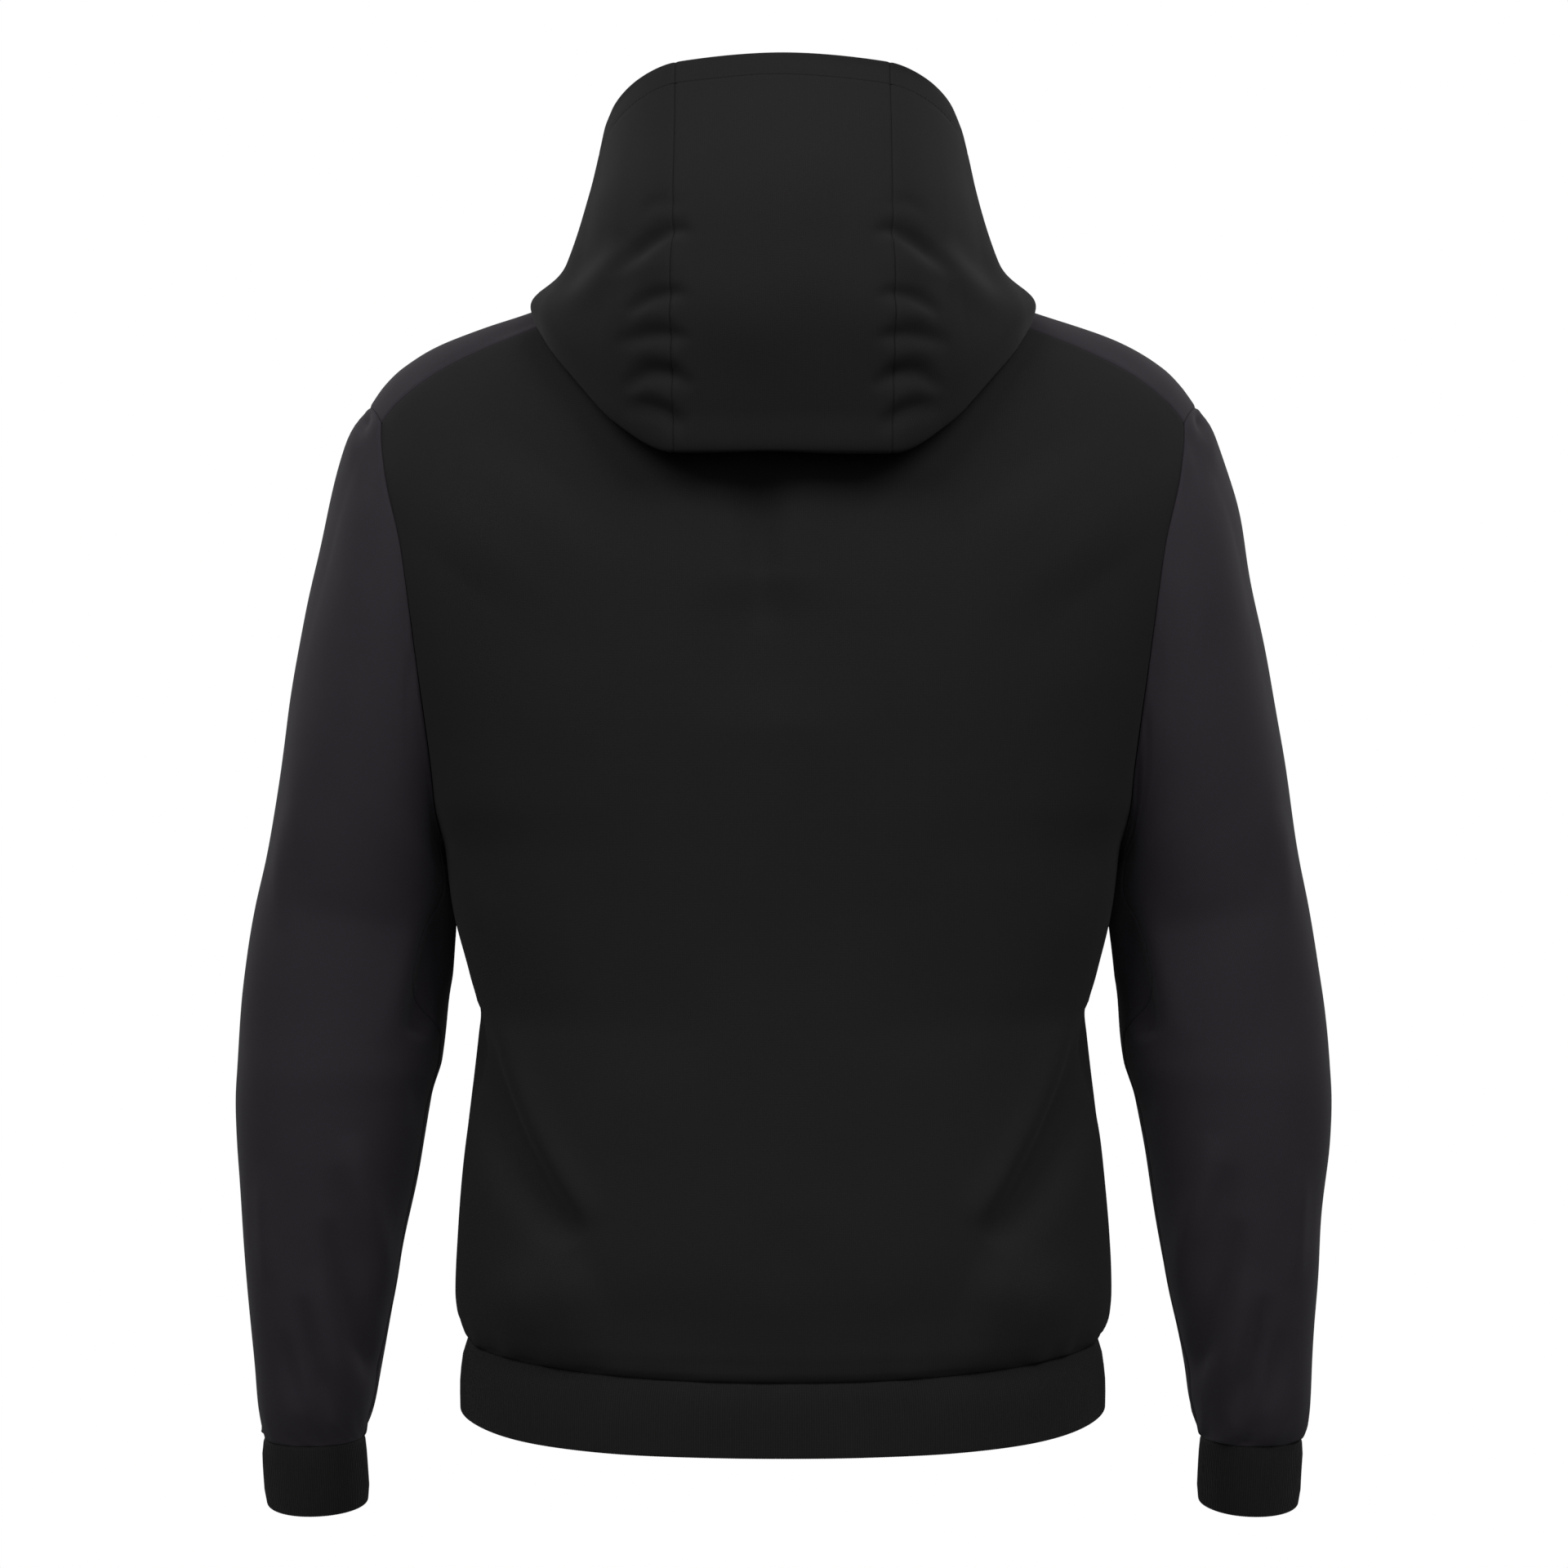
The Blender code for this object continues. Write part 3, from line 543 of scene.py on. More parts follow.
# Where the seam under the sleeve lies, in half turns from the top, by the height of the inner end.
UNDER_SEAM = table(
    "z turn",
    (-719.5, 0.955),
    (-485, 0.955),
    (-463.8, 0.943),
    (-454.6, 0.895),
    (-446.6, 0.845),
    (-436, 0.795),
    (-425.4, 0.762),
    (-405, 0.775),
    (-375, 0.88),
    (-345, 0.955),
)

# The hood, by station: 0 at the middle of the back, 1 where its edges meet at the front neck.
# The lip is the fold that hangs over the back; the rim is the edge of the hood's opening.
HOOD_LIP = table(
    "station x y z",
    (0, 0, 143, -121.5),
    (0.17, 60, 139.8, -121.5),
    (0.28, 95, 121.2, -102),
    (0.38, 123, 91.5, -70),
    (0.46, 139.2, 65, -47.5),
    (0.53, 146.5, 37, -32.5),
    (0.6, 144, 4, -21.5),
    (0.68, 132.5, -36, -20),
    (0.78, 105, -75.5, -43),
    (0.89, 57, -100, -68),
    (1, 0, -104, -76),
)
HOOD_MID = table(
    "station x y z",
    (0, 0, 158, 6),
    (0.17, 60.5, 149.5, 5),
    (0.28, 92.5, 123, 1),
    (0.38, 115.5, 90, -4),
    (0.46, 127.5, 62, 0),
    (0.53, 130, 36, 0),
    (0.6, 128, 4, 6),
    (0.68, 119, -32, 4),
    (0.78, 95, -68, -18),
    (0.89, 53, -97, -49),
    (1, 0, -107, -69),
)
HOOD_RIM = table(
    "station x y z",
    (0, 0, 106, 113),
    (0.17, 60.8, 98.5, 109.6),
    (0.26, 86, 80, 103),
    (0.36, 101.5, 56, 91.5),
    (0.46, 107.5, 32, 79),
    (0.56, 104.5, 2, 58),
    (0.66, 94.5, -30, 30),
    (0.78, 74, -64, -5),
    (0.9, 40, -92, -40),
    (1, 0, -108, -61),
)
# How the hood leaves the neck seam, and how round and how folded its lip is.
HOOD_FOLD = table(
    "station crest_out crest_up radius rise folded",
    (0, 18, 11, 7, 22, 1),
    (0.2, 18, 11, 7, 21, 1),
    (0.4, 18, 11, 7, 14, 1),
    (0.55, 14, 15, 6.5, 9, 1),
    (0.7, 10, 13, 6, 6, 0.6),
    (0.85, 7, 7, 4.5, 4.5, 0.2),
    (1, 4, 6, 3, 3, 0),
)


# ---------------------------------------------------------------- creases, placed one by one

Path = tuple[tuple[float, float, float, float], ...]

# Each crease is a path of (x, z, half width, height) in millimetres, seen square on from behind or
# before; it is a trough where its height is below 0, and it fades out where its height comes to 0.
BACK_CREASES: tuple[Path, ...] = (
    # the shoulder blades
    ((130, -130, 36, 0), (148, -150, 42, 4.4), (166, -168, 42, 4), (184, -190, 36, 0)),
    # the drape line above the hip, and the hollow outboard of it
    ((170, -425, 12, 0), (166, -458, 12, 2.6), (156, -490, 12, 4.4), (144, -513, 11.5, 5), (131, -532, 11, 4.8),
     (118, -548, 10, 3.6), (104, -560, 9, 0)),
    ((186, -440, 12, 0), (180, -475, 14, -10.4), (166, -508, 15, -13.8), (150, -534, 14.5, -13),
     (134, -556, 13, -9.6), (118, -572, 11, 0)),
    # the swell above the hem
    ((106, -592, 15, 0), (126, -598, 20, 5.8), (146, -604, 21, 6.2), (164, -610, 18, 3.4), (180, -616, 14, 0)),
    # the cloth draws in over the last of the way to the hem
    ((120, -626, 20, 0), (90, -622, 24, -4), (45, -624, 25, -4.6), (0, -626, 25, -4.6)),
    # slight pulls across the small of the back
    ((30, -430, 24, 0), (72, -442, 26, -1.3), (118, -462, 22, 0)),
    ((196, -330, 12, 0), (184, -352, 15, -1.8), (168, -380, 14, 0)),
)
BACK_ONE_SIDED: tuple[Path, ...] = (
    # the cloth that falls away in a V from under the hood, and the crease down it
    ((6, -108, 36, 1), (6, -136, 32, 2.6), (8, -162, 24, 2), (10, -184, 16, 0)),
    ((9, -190, 28, 0), (9, -215, 34, -5), (6, -242, 38, -4), (4, -275, 34, 0)),
    ((15, -112, 16, 0), (14.5, -136, 17, -8.5), (13, -166, 13, -8), (12.4, -196, 9, -4), (12.2, -222, 6, 0)),
    ((-30, -572, 20, 0), (-4, -580, 24, -1.6), (34, -574, 20, 0)),
)
FRONT_CREASES: tuple[Path, ...] = (
    ((176, -438, 10, 0), (168, -474, 10, 2.4), (153, -508, 10, 3), (135, -536, 9, 2.4), (118, -556, 8, 0)),
    ((192, -452, 13, 0), (184, -492, 15, -6), (167, -522, 15, -7), (148, -548, 14, -5.2), (130, -568, 12, 0)),
    ((112, -586, 18, 0), (136, -598, 22, 3.4), (165, -606, 20, 0)),
    # drag lines from the front of the armhole
    ((206, -292, 14, 0), (186, -262, 17, -3.4), (160, -232, 18, -2.4), (138, -206, 16, 0)),
    ((203, -262, 12, 0), (182, -234, 14, 1.8), (158, -206, 14, 0)),
    # the swell of the chest and the dip between
    ((70, -170, 40, 0), (100, -178, 45, 3.4), (135, -182, 42, 0)),
    ((0, -128, 24, -1.2), (0, -176, 26, -2), (0, -236, 24, 0)),
    # slack above the hem
    ((18, -570, 26, 0), (58, -584, 28, -1.8), (92, -580, 24, 0)),
    ((0, -470, 30, -0.8), (46, -480, 30, -1.4), (92, -500, 26, 0)),
)
SLEEVE_BACK_CREASES: tuple[Path, ...] = (
    # the tuck at the sleeve's head and the soft folds below it
    ((253.8, -80, 3, 0), (253, -86.5, 3.6, -4), (253.8, -93.5, 3.6, -2.2), (255.2, -103, 3.2, 0)),
    ((250, -90, 4, 0), (248.8, -106, 4.8, -1.5), (246.6, -126, 5, -1.2), (244, -146, 4.5, 0)),
    ((258, -85, 4, 0), (259.2, -100, 4.8, 1.2), (259.6, -122, 4.6, 0)),
    # light ridges down the upper arm
    ((290.5, -286, 10, 0), (291.5, -325, 10, 2), (290.5, -362, 10, 0)),
    ((302, -320, 8, 0), (302.4, -357, 8, 2.2), (302, -396, 8, 0)),
    # the deep crease at the inside of the elbow, ending in a small pit
    ((204, -372, 6, 0), (210.4, -395, 7, -4.2), (215, -420, 7.8, -6.4), (218.6, -443, 7.8, -7.4),
     (221.2, -455, 6.8, -5.8), (225.6, -461.5, 6, 0)),
    ((220, -378, 9, 0), (226, -405, 10, 1.8), (231, -432, 10, 2.4), (237, -452, 10, 1.6), (246, -468, 10, 0)),
    # the second crease, below the elbow
    ((225, -484, 4.2, 0), (223.6, -496, 4.2, -1.6), (222.8, -508, 4.2, -1.6), (223.2, -519, 4, 0)),
    # long folds down the forearm
    ((260.5, -518, 7, 0), (257.7, -537.7, 7.8, 2.7), (250.6, -574.3, 8.2, 4.2), (246.5, -597.5, 8.2, 4.2),
     (243.6, -623.7, 7.8, 2.5), (242, -644, 7, 0)),
    ((270, -536, 7, 0), (266, -560, 8, -2.5), (260, -590, 8, -3.1), (254, -620, 7, 0)),
    ((276, -570, 6, 0), (272.8, -590, 6.4, -3.4), (266.8, -620, 7, -5.8), (260, -648, 7, -6.1),
     (254.5, -668, 6.4, -5), (251, -682, 5.6, -2), (249, -692, 5, 0)),
    ((293.5, -618, 5.2, 0), (291.8, -634, 5.8, -2.7), (288.8, -656.9, 6.4, -5.1), (284.6, -674.3, 6.4, -5.1),
     (280, -693.7, 5.6, -2.5), (278, -704, 5, 0)),
    ((283, -600, 8, 0), (280, -628, 8, 1.8), (274.5, -660, 7.6, 2), (269, -690, 7, 0)),
    ((314.6, -536, 6, 0), (315, -564, 6.4, 2), (314.7, -590, 6.4, 2), (314, -616, 6, 0)),
    ((306, -640, 6, 0), (303, -668, 6.6, -2.9), (299, -696, 6, 0)),
)
SLEEVE_FRONT_CREASES: tuple[Path, ...] = (
    # folds where the arm bends forward
    ((206, -428, 9, 0), (228, -448, 11, -6), (256, -460, 12, -5.8), (282, -465, 11, -3.4), (308, -462, 10, 0)),
    ((215, -470, 9, 0), (240, -479, 9.5, 2.6), (270, -482, 9.5, 2), (296, -480, 9, 0)),
    ((210, -486, 9, 0), (234, -498, 10.5, -4.8), (260, -502, 10, -3.6), (288, -499, 9, 0)),
    ((208, -390, 10, 0), (222, -350, 13, -4.4), (242, -302, 14, -3.6), (262, -256, 12, 0)),
    ((230, -400, 10, 0), (248, -360, 11, 1.8), (264, -312, 11, 0)),
    ((301, -540, 8, 0), (297, -580, 9, -3), (288, -628, 9, -3), (284, -660, 8, 0)),
    ((260, -600, 8, 0), (268, -640, 8.5, -3), (274, -674, 8, -2.4), (276, -702, 7, 0)),
    ((248, -560, 8, 0), (252, -600, 9, 1.8), (256, -645, 8, 0)),
    ((266, -140, 10, 0), (264, -180, 12, -1.6), (258, -222, 11, 0)),
)
HOOD_BACK_CREASES: tuple[Path, ...] = (
    # gathers eased into the centre panel, strongest at the second and the fifth
    ((82, 13, 4.5, 0), (70, 19, 4.6, -1), (60, 17.5, 4.4, -0.7), (54, 15, 4, 0)),
    ((97, -21, 4.8, 0), (89, -13.5, 5.4, -1.6), (80, -7.5, 5.6, -3.1), (71, -2, 5.6, -3.8), (59.7, 2, 5, -3.4),
     (53, -0.5, 4.4, -1.3), (48, -3, 4, 0)),
    ((88, -44, 4.2, 0), (80.9, -40, 4.6, -1.6), (70.7, -36, 5, -2.8), (59.7, -35, 4.6, -2.5),
     (53.5, -37, 4.2, -0.8), (49, -38.5, 4, 0)),
    ((96, -60, 4.2, 0), (86.7, -57.5, 4.6, -1.5), (72.5, -56.5, 5, -2.6), (60, -58, 4.6, -2.3),
     (53.5, -59.5, 4.2, -0.8), (49, -60.5, 4, 0)),
    ((92, -85, 4.5, 0), (84.5, -81, 5, -2), (74, -77, 5.6, -3.3), (62.3, -79, 5.2, -3.4), (55, -83, 4.6, -1.6),
     (49, -87, 4.2, 0)),
    ((92, -96, 4.2, 0), (84.5, -95, 4.6, -1.3), (72.2, -97, 5, -2.5), (60, -104, 4.6, -2.1),
     (53, -108.5, 4.2, 0)),
    # the swells between them
    ((92, -24, 7, 0), (78, -19, 7.4, 0.8), (63, -17, 7, 0.7), (53, -18, 6, 0)),
    ((86, -49, 5, 0), (74, -46.2, 5.2, 0.7), (62, -46.5, 5, 0.6), (55, -48, 4.6, 0)),
    ((90, -69, 5, 0), (76, -66.5, 5.2, 0.8), (63, -68.5, 5, 0.7), (56, -71, 4.6, 0)),
    ((88, -88.5, 4.6, 0), (76, -86.8, 4.8, 0.7), (65, -91, 4.8, 0.8), (57, -96, 4.4, 0)),
    # the roll that runs out over the shoulder, and the hollow above it
    ((85, -4, 9.5, 0), (96, -12, 11, 2), (108, -20, 11.5, 2.6), (120, -28, 11, 2), (133, -36, 10, 0)),
    ((96, 12, 10, 0), (106, 0, 11, -1.5), (116, -10, 11, -1.4), (129, -21, 10, 0)),
    ((108.5, 48, 8, 0), (109.5, 30, 8.5, 1.2), (112, 10, 8.5, 0)),
    # the middle swells out over the part that leans in towards the fold
    ((0, -42, 36, 5), (50, -42, 36, 4.6), (80, -38, 30, 2.6), (102, -34, 24, 0)),
)
HOOD_FRONT_CREASES: tuple[Path, ...] = (
    ((118, -1, 9, 0), (104, -16, 9, -3.2), (86, -33, 9, -2.8), (66, -50, 8, 0)),
    ((124, -16, 8, 0), (102, -34, 8, 1.8), (80, -52, 8, 1.6), (60, -67, 7, 0)),
    ((98, 20, 7, 0), (90, 0, 7, -1.8), (76, -20, 7, -1.4), (60, -36, 6, 0)),
)


PATH_POINTS = 17     # points that a crease's path is read at
SIDE_SHARE = 0.2     # a crease's share on cloth that lies square to the view it was drawn in
SIDE_GAIN = 1.5      # how fast that share grows as the cloth turns to the view


def crease_height(creases: tuple[Path, ...], x: Array, z: Array) -> Array:
    """Sum of the creases: each is a bell across its path, of the path's own width and height there.

    Args:
        creases: the paths.
        x: how far out each point lies.
        z: how high each point lies.

    Returns:
        The height to raise each point by, below 0 in a trough.
    """
    total = np.zeros_like(x)
    for path in creases:
        knots = np.array(path) / 1000
        way = np.concatenate(([0.0], np.cumsum(np.hypot(*np.diff(knots[:, :2], axis=0).T))))
        at = np.linspace(0.0, way[-1], PATH_POINTS)
        line = np.stack([smooth(at, way, knots[:, k]) for k in range(4)], axis=-1)
        nearest, width, height = np.full_like(x, np.inf), np.ones_like(x), np.zeros_like(x)
        for start, end in zip(line[:-1], line[1:]):
            dx, dz, wider, higher = end - start
            t = np.clip(((x - start[0]) * dx + (z - start[1]) * dz) / (dx * dx + dz * dz), 0.0, 1.0)
            gap = (x - start[0] - t * dx) ** 2 + (z - start[1] - t * dz) ** 2
            near = gap < nearest
            nearest = np.where(near, gap, nearest)
            width = np.where(near, start[2] + t * wider, width)
            height = np.where(near, start[3] + t * higher, height)
        total += height * np.exp(-nearest / width ** 2)
    return total


def creases_facing(wall: Wall, behind: tuple[Path, ...], before: tuple[Path, ...]) -> Array:
    """Creases seen from behind on the cloth that faces back, and the others on what faces forward.

    Args:
        wall: the cloth.
        behind: creases drawn from behind.
        before: creases drawn from before.

    Returns:
        The height to raise each point by.
    """
    out, up = np.abs(wall.grid[..., 0]), wall.grid[..., 2]
    facing = wall.normals[..., 1]
    return sum(crease_height(creases, out, up) * np.clip(SIDE_SHARE + SIDE_GAIN * way, 0.0, 1.0)
               for creases, way in ((behind, facing), (before, -facing)))


@dataclass(frozen=True)
class Waves:
    """The slight unevenness of any hanging cloth: sine waves in many directions."""

    height: float
    shortest: float
    longest: float

    COUNT = 16

    def on(self, points: Array, seed: int) -> Array:
        """The waves' sum.

        Args:
            points: the cloth's points.
            seed: picks the waves.

        Returns:
            The height to raise each point by.
        """
        pick = np.random.default_rng(seed)
        size = np.geomspace(self.shortest, self.longest, self.COUNT)
        way = unit(pick.normal(size=(self.COUNT, 3)))
        start = pick.uniform(0.0, 2 * np.pi, self.COUNT)
        total = np.zeros(points.shape[:2])
        for direction, phase, length in zip(way, start, size):
            total += np.sin(points @ direction * (2 * np.pi / length) + phase) * length
        return self.height * total / size.sum() * math.sqrt(self.COUNT)


@dataclass(frozen=True)
class Gathers:
    """Short puckers that run square from a seam: bells across, fading out away from it."""

    spacing: float
    height: float
    length: float

    START = 0.0016          # how close to the seam they start
    SHIFT, LEAN = 0.3, 0.25
    HEIGHTS, LENGTHS, WIDTHS = (0.25, 1.0), (0.5, 1.3), (0.28, 0.42)

    def on(self, reach: Array, along: Array, seed: int) -> Array:
        """The puckers' sum.

        Args:
            reach: how far each point is from the seam.
            along: how far along the seam it is.
            seed: picks each pucker's place, height, length, lean and width.

        Returns:
            The height to raise each point by.
        """
        pick = np.random.default_rng(seed)
        total = np.zeros_like(reach)
        for place in np.arange(float(along.min()), float(along.max()), self.spacing / 2):
            middle = place + pick.uniform(-self.SHIFT, self.SHIFT) * self.spacing
            tall = self.height * pick.uniform(*self.HEIGHTS) * (1 if pick.random() < 0.5 else -1)
            far = self.length * pick.uniform(*self.LENGTHS)
            lean = pick.uniform(-self.LEAN, self.LEAN)
            wide = self.spacing * pick.uniform(*self.WIDTHS)
            total += tall * bell(along - middle - lean * reach, wide) * bell(reach, far)
        return total * (1.0 - bell(reach, self.START))


RIB_PITCH = 0.00135


@dataclass(frozen=True)
class RibBand:
    """A band of rib knit: upright ribs, each half a sine wave across, flattened at the seam."""

    count: int
    columns: int
    height: float
    waves: Waves
    calm: float
    cloth: float = 0.0026
    low_share: float = 0.35
    low_reach: float = 0.004

    def points(self) -> int:
        """How many points lie round the band, with the first again at the end."""
        return self.count * self.columns + 1

    def build(self, name: str, node: str, grid: Array, axis: Array, cut: Cut, seed: int) -> Piece:
        """Make the band.

        Args:
            name: its name.
            node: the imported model's node that it replaces.
            grid: its rings, from the seam down.
            axis: the way it hangs.
            cut: its cut.
            seed: picks its unevenness.

        Returns:
            The new piece.
        """
        wall = Wall(name, node, grid, grid.mean(axis=1, keepdims=True), self.cloth, cut, tube=True,
                    edges=ONE_TURNED, inner_step=3, inner_ends=2, square_ends=((0, axis),),
                    rib_width=RIB_PITCH / self.columns)
        seam = wall.reaches[0]
        wall.relief = wall.calm(self.waves.on(grid, seed), self.calm)
        wave = np.abs(np.sin(np.pi * np.arange(grid.shape[1]) / self.columns))
        wall.texture = self.height * wave * (self.low_share + (1 - self.low_share) * ease(seam, self.low_reach))
        return wall.build(BLACK_RIB)


# ---------------------------------------------------------------- sub-assemblies

@dataclass
class Body:
    """Back and front panels, the shoulder panels between them, and the rib round the hem."""

    underarm_z: float = -0.345
    hem_seam_z: float = -0.6435
    hem_seam_dip: float = 0.0060
    hem_dip_reach: float = 0.100
    hem_z: float = -0.692
    hem_lift: float = 0.006
    hem_lift_power: int = 8
    neck_half_width: float = 0.090
    neck_bulge: float = 0.004
    back_neck_drop: float = 0.0075
    front_neck_drop: float = 0.0735
    seam_end_x: float = 0.2407
    shoulder_tip_x: float = 0.2525
    section_power: float = 2.2
    shoulder_power: float = 3.0
    half_width: float = 0.30
    shoulder_length: float = 0.155
    shoulder_width: float = 0.070
    cloth: float = 0.0022
    back_step: float = 0.0027
    front_step: float = 0.0036
    shoulder_step: float = 0.0022
    hem_step: float = 0.009
    calm: float = 0.012
    shoulder_calm: float = 0.010
    seeds: tuple[int, int, int, int] = (11, 12, 13, 14)
    waves: Waves = Waves(0.00045, 0.05, 0.16)
    shoulder_waves: Waves = Waves(0.0004, 0.03, 0.09)
    gathers: Gathers = Gathers(0.024, 0.0012, 0.022)
    gathered_x: float = 0.19
    gathered_middle: float = 0.35
    hem_band: RibBand = RibBand(740, 4, 0.00030, Waves(0.0005, 0.05, 0.14), 0.014)
    back_cut: Cut = Cut(0.540, 0.660, 0.315, "draped", ("shoulder_left", "shoulder_right"))
    front_cut: Cut = Cut(0.540, 0.660, 0.300, "draped", ("shoulder_left", "shoulder_right"))
    shoulder_cut: Cut = Cut(0.180, 0.092, 0.0158, "draped", ())
    hem_cut: Cut = Cut(1.015, 0.048, 0.0487, "stretched", ("back", "front"))

    # points on the edges that the sleeves, the hood and the hem rib start from
    ARMHOLE_TOP, ARMHOLE_STEP = 61, 0.003
    NECK_QUARTER, NECK_END, HEM_QUARTER = 85, 41, 400

    def ridge(self, x: Array | float) -> Array:
        """Height of the top of the shoulder."""
        return read(SHOULDER, "ridge", np.abs(x))

    def seam_height(self, x: Array | float) -> Array:
        """Height of the shoulder seams, before and behind the top of the shoulder."""
        return self.ridge(x) - read(SHOULDER, "seam_drop", np.abs(x))

    def crown(self, x: Array, z: Array) -> Array:
        """Share of the form's depth left: 1 below the underarm, 0 on top of the shoulder.

        With rise from 0 at the underarm to 1 at the top, it is the root of 1 - rise ** power.
        """
        rise = np.clip((z - self.underarm_z) / (self.ridge(x) - self.underarm_z), 0.0, 1.0)
        return np.sqrt(1.0 - rise ** self.shoulder_power)

    def depth(self, x: Array, z: Array, side: Array | float) -> Array:
        """y of the form before its shoulder is rounded off: a superellipse across each height.

        Args:
            x: how far out.
            z: how high.
            side: 1 behind and -1 before.

        Returns:
            y, positive behind.
        """
        deep = np.where(np.asarray(side) > 0, read(FORM, "back", z), read(FORM, "front", z))
        share = np.clip(np.abs(x) / read(FORM, "reach", z), 0.0, 1.0)
        return side * deep * (1.0 - share ** self.section_power) ** (1.0 / self.section_power)

    def panel(self, side: float, across: Array, side_z: Array) -> Array:
        """Half of the back or the front.

        `across` goes from 0 in the middle over 0.5 at the neck's corner to 1 at the side. Below the
        underarm a column keeps its share of the width, and above it the share moves over to that of
        the neck and shoulder edge.

        Args:
            side: 1 for the back and -1 for the front.
            across: the columns.
            side_z: the rows, by their height at the side.

        Returns:
            Points, rows from the hem up.
        """
        drop = self.back_neck_drop if side > 0 else self.front_neck_drop
        angle = np.clip(across, 0.0, 0.5) * np.pi
        past = np.clip(across - 0.5, 0.0, 0.5) * 2
        top_x = self.neck_half_width * np.sin(angle) + (self.seam_end_x - self.neck_half_width) * past
        neck_z = self.seam_height(self.neck_half_width) - drop * np.cos(angle)
        top_z = np.where(across <= 0.5, neck_z, self.seam_height(top_x))
        climb = np.clip((side_z - self.underarm_z) / (side_z[-1] - self.underarm_z), 0.0, 1.0)[:, None]
        low_share = np.sin(across * np.pi / 2) ** (2.0 / self.section_power)
        share = low_share * (1 - climb) + top_x / self.seam_end_x * climb
        x = share * read(FORM, "edge", side_z)[:, None]
        z = np.where(climb > 0, self.underarm_z + (top_z - self.underarm_z) * climb, side_z[:, None])
        y = self.depth(x, z, side) * self.crown(x, z)
        nearness = np.clip(1.0 - (z - self.hem_seam_z) / self.hem_dip_reach, 0.0, 1.0)
        return np.stack((x, y, z - self.hem_seam_dip * (1 - share ** 2) * nearness ** 2), axis=-1)

    def side_rows(self, step: float) -> Array:
        """Heights of a panel's rows at its side, close together at the hem and the shoulder."""
        tall = float(self.seam_height(self.seam_end_x)) - self.hem_seam_z
        return self.hem_seam_z + tall * spaced(tall, step)

    def ends(self) -> Array:
        """The heights of a panel's lowest row and highest row at its side."""
        return self.side_rows(self.half_width)[[0, -1]]

    def shoulder(self, reach: Array, over: Array) -> Array:
        """The left shoulder panel; `over` goes from 1 at its back seam to -1 at its front seam.

        Args:
            reach: the columns, from 0 at the neck to 1 at the armhole.
            over: the rows.

        Returns:
            Points, rows from the back seam over the shoulder.
        """
        seam_x = self.neck_half_width + (self.seam_end_x - self.neck_half_width) * reach
        lean = np.abs(over)[:, None] * self.crown(seam_x, self.seam_height(seam_x))
        tip = self.shoulder_tip_x - self.seam_end_x
        x = seam_x + (1 - over[:, None] ** 2) * (self.neck_bulge * (1 - reach) + tip * reach)
        height = (1.0 - lean ** 2) ** (1.0 / self.shoulder_power)
        z = self.underarm_z + (self.ridge(x) - self.underarm_z) * height
        y = self.depth(x, z, np.where(over >= 0, 1.0, -1.0)[:, None]) * lean
        return np.stack((x, y, z), axis=-1)

    def armhole(self) -> tuple[Array, Array]:
        """The left armhole from the top of the shoulder to the underarm, behind and before."""
        rows = self.side_rows(self.ARMHOLE_STEP)
        rows = np.concatenate(([self.underarm_z], rows[rows > self.underarm_z]))
        over = np.linspace(0.0, 1.0, self.ARMHOLE_TOP)
        return tuple(np.concatenate((self.shoulder(np.ones(1), side * over)[:, 0],
                                     self.panel(side, np.ones(1), rows)[-2::-1, 0])) for side in (1.0, -1.0))

    def neck_edge(self) -> tuple[Array, Array]:
        """The left half of the neck edge from the middle of the back to that of the front.

        Returns:
            Its points, and the lengths along it at the hood's seam and the end.
        """
        turn = np.linspace(0.0, 0.5, self.NECK_QUARTER)
        back, front = (self.panel(side, turn, self.ends())[-1] for side in (1.0, -1.0))
        over = self.shoulder(np.zeros(1), np.linspace(1.0, -1.0, self.NECK_END))[:, 0]
        line = np.concatenate((back, over[1:-1], front[::-1]))
        way = running_length(line)
        seam = np.interp(Hood.centre_share * 0.5, turn, way[:len(turn)])
        return line, np.array([seam, way[-1]])

    def hem_loop(self) -> Array:
        """The loop of the body's lower edges, from the middle of the front round to it again."""
        across = np.linspace(0.0, 1.0, self.HEM_QUARTER)
        front, back = (self.panel(side, across, self.ends())[0] for side in (-1.0, 1.0))
        left = np.concatenate((front, back[-2::-1]))
        return np.concatenate((left, (left * MIRROR)[-2::-1]))

    def build(self) -> list[Piece]:
        """Make the body's five pieces.

        Returns:
            The new pieces.
        """
        made = []
        for name, side, step, creases, lone, cut, seed in (
            ("back", 1.0, self.back_step, BACK_CREASES, BACK_ONE_SIDED, self.back_cut, self.seeds[0]),
            ("front", -1.0, self.front_step, FRONT_CREASES, (), self.front_cut, self.seeds[1]),
        ):
            columns = spaced(self.half_width, step, start=False)
            grid = both_halves(self.panel(side, columns, self.side_rows(step)))
            wall = Wall(name, f"{name}_panel", grid, grid * UPRIGHT, self.cloth, cut, inner_step=4,
                        square_ends=((0, UPRIGHT),))
            x, z = grid[..., 0], grid[..., 2]
            relief = crease_height(creases, np.abs(x), z) + crease_height(lone, x, z)
            relief = wall.calm(relief + self.waves.on(grid, seed), *(self.calm,) * 4)
            hem, _, left, _ = wall.reaches
            share = np.clip(np.abs(x) / self.gathered_x, 0.0, 1.0) ** 3
            share = self.gathered_middle + (1 - self.gathered_middle) * share
            wall.relief = relief + self.gathers.on(hem, from_column(left, left.shape[1] // 2), seed) * share
            made.append(wall.build(BLACK_FLEECE))
        reach = spaced(self.shoulder_length, self.shoulder_step)
        over = 1.0 - 2.0 * spaced(self.shoulder_width, self.shoulder_step)
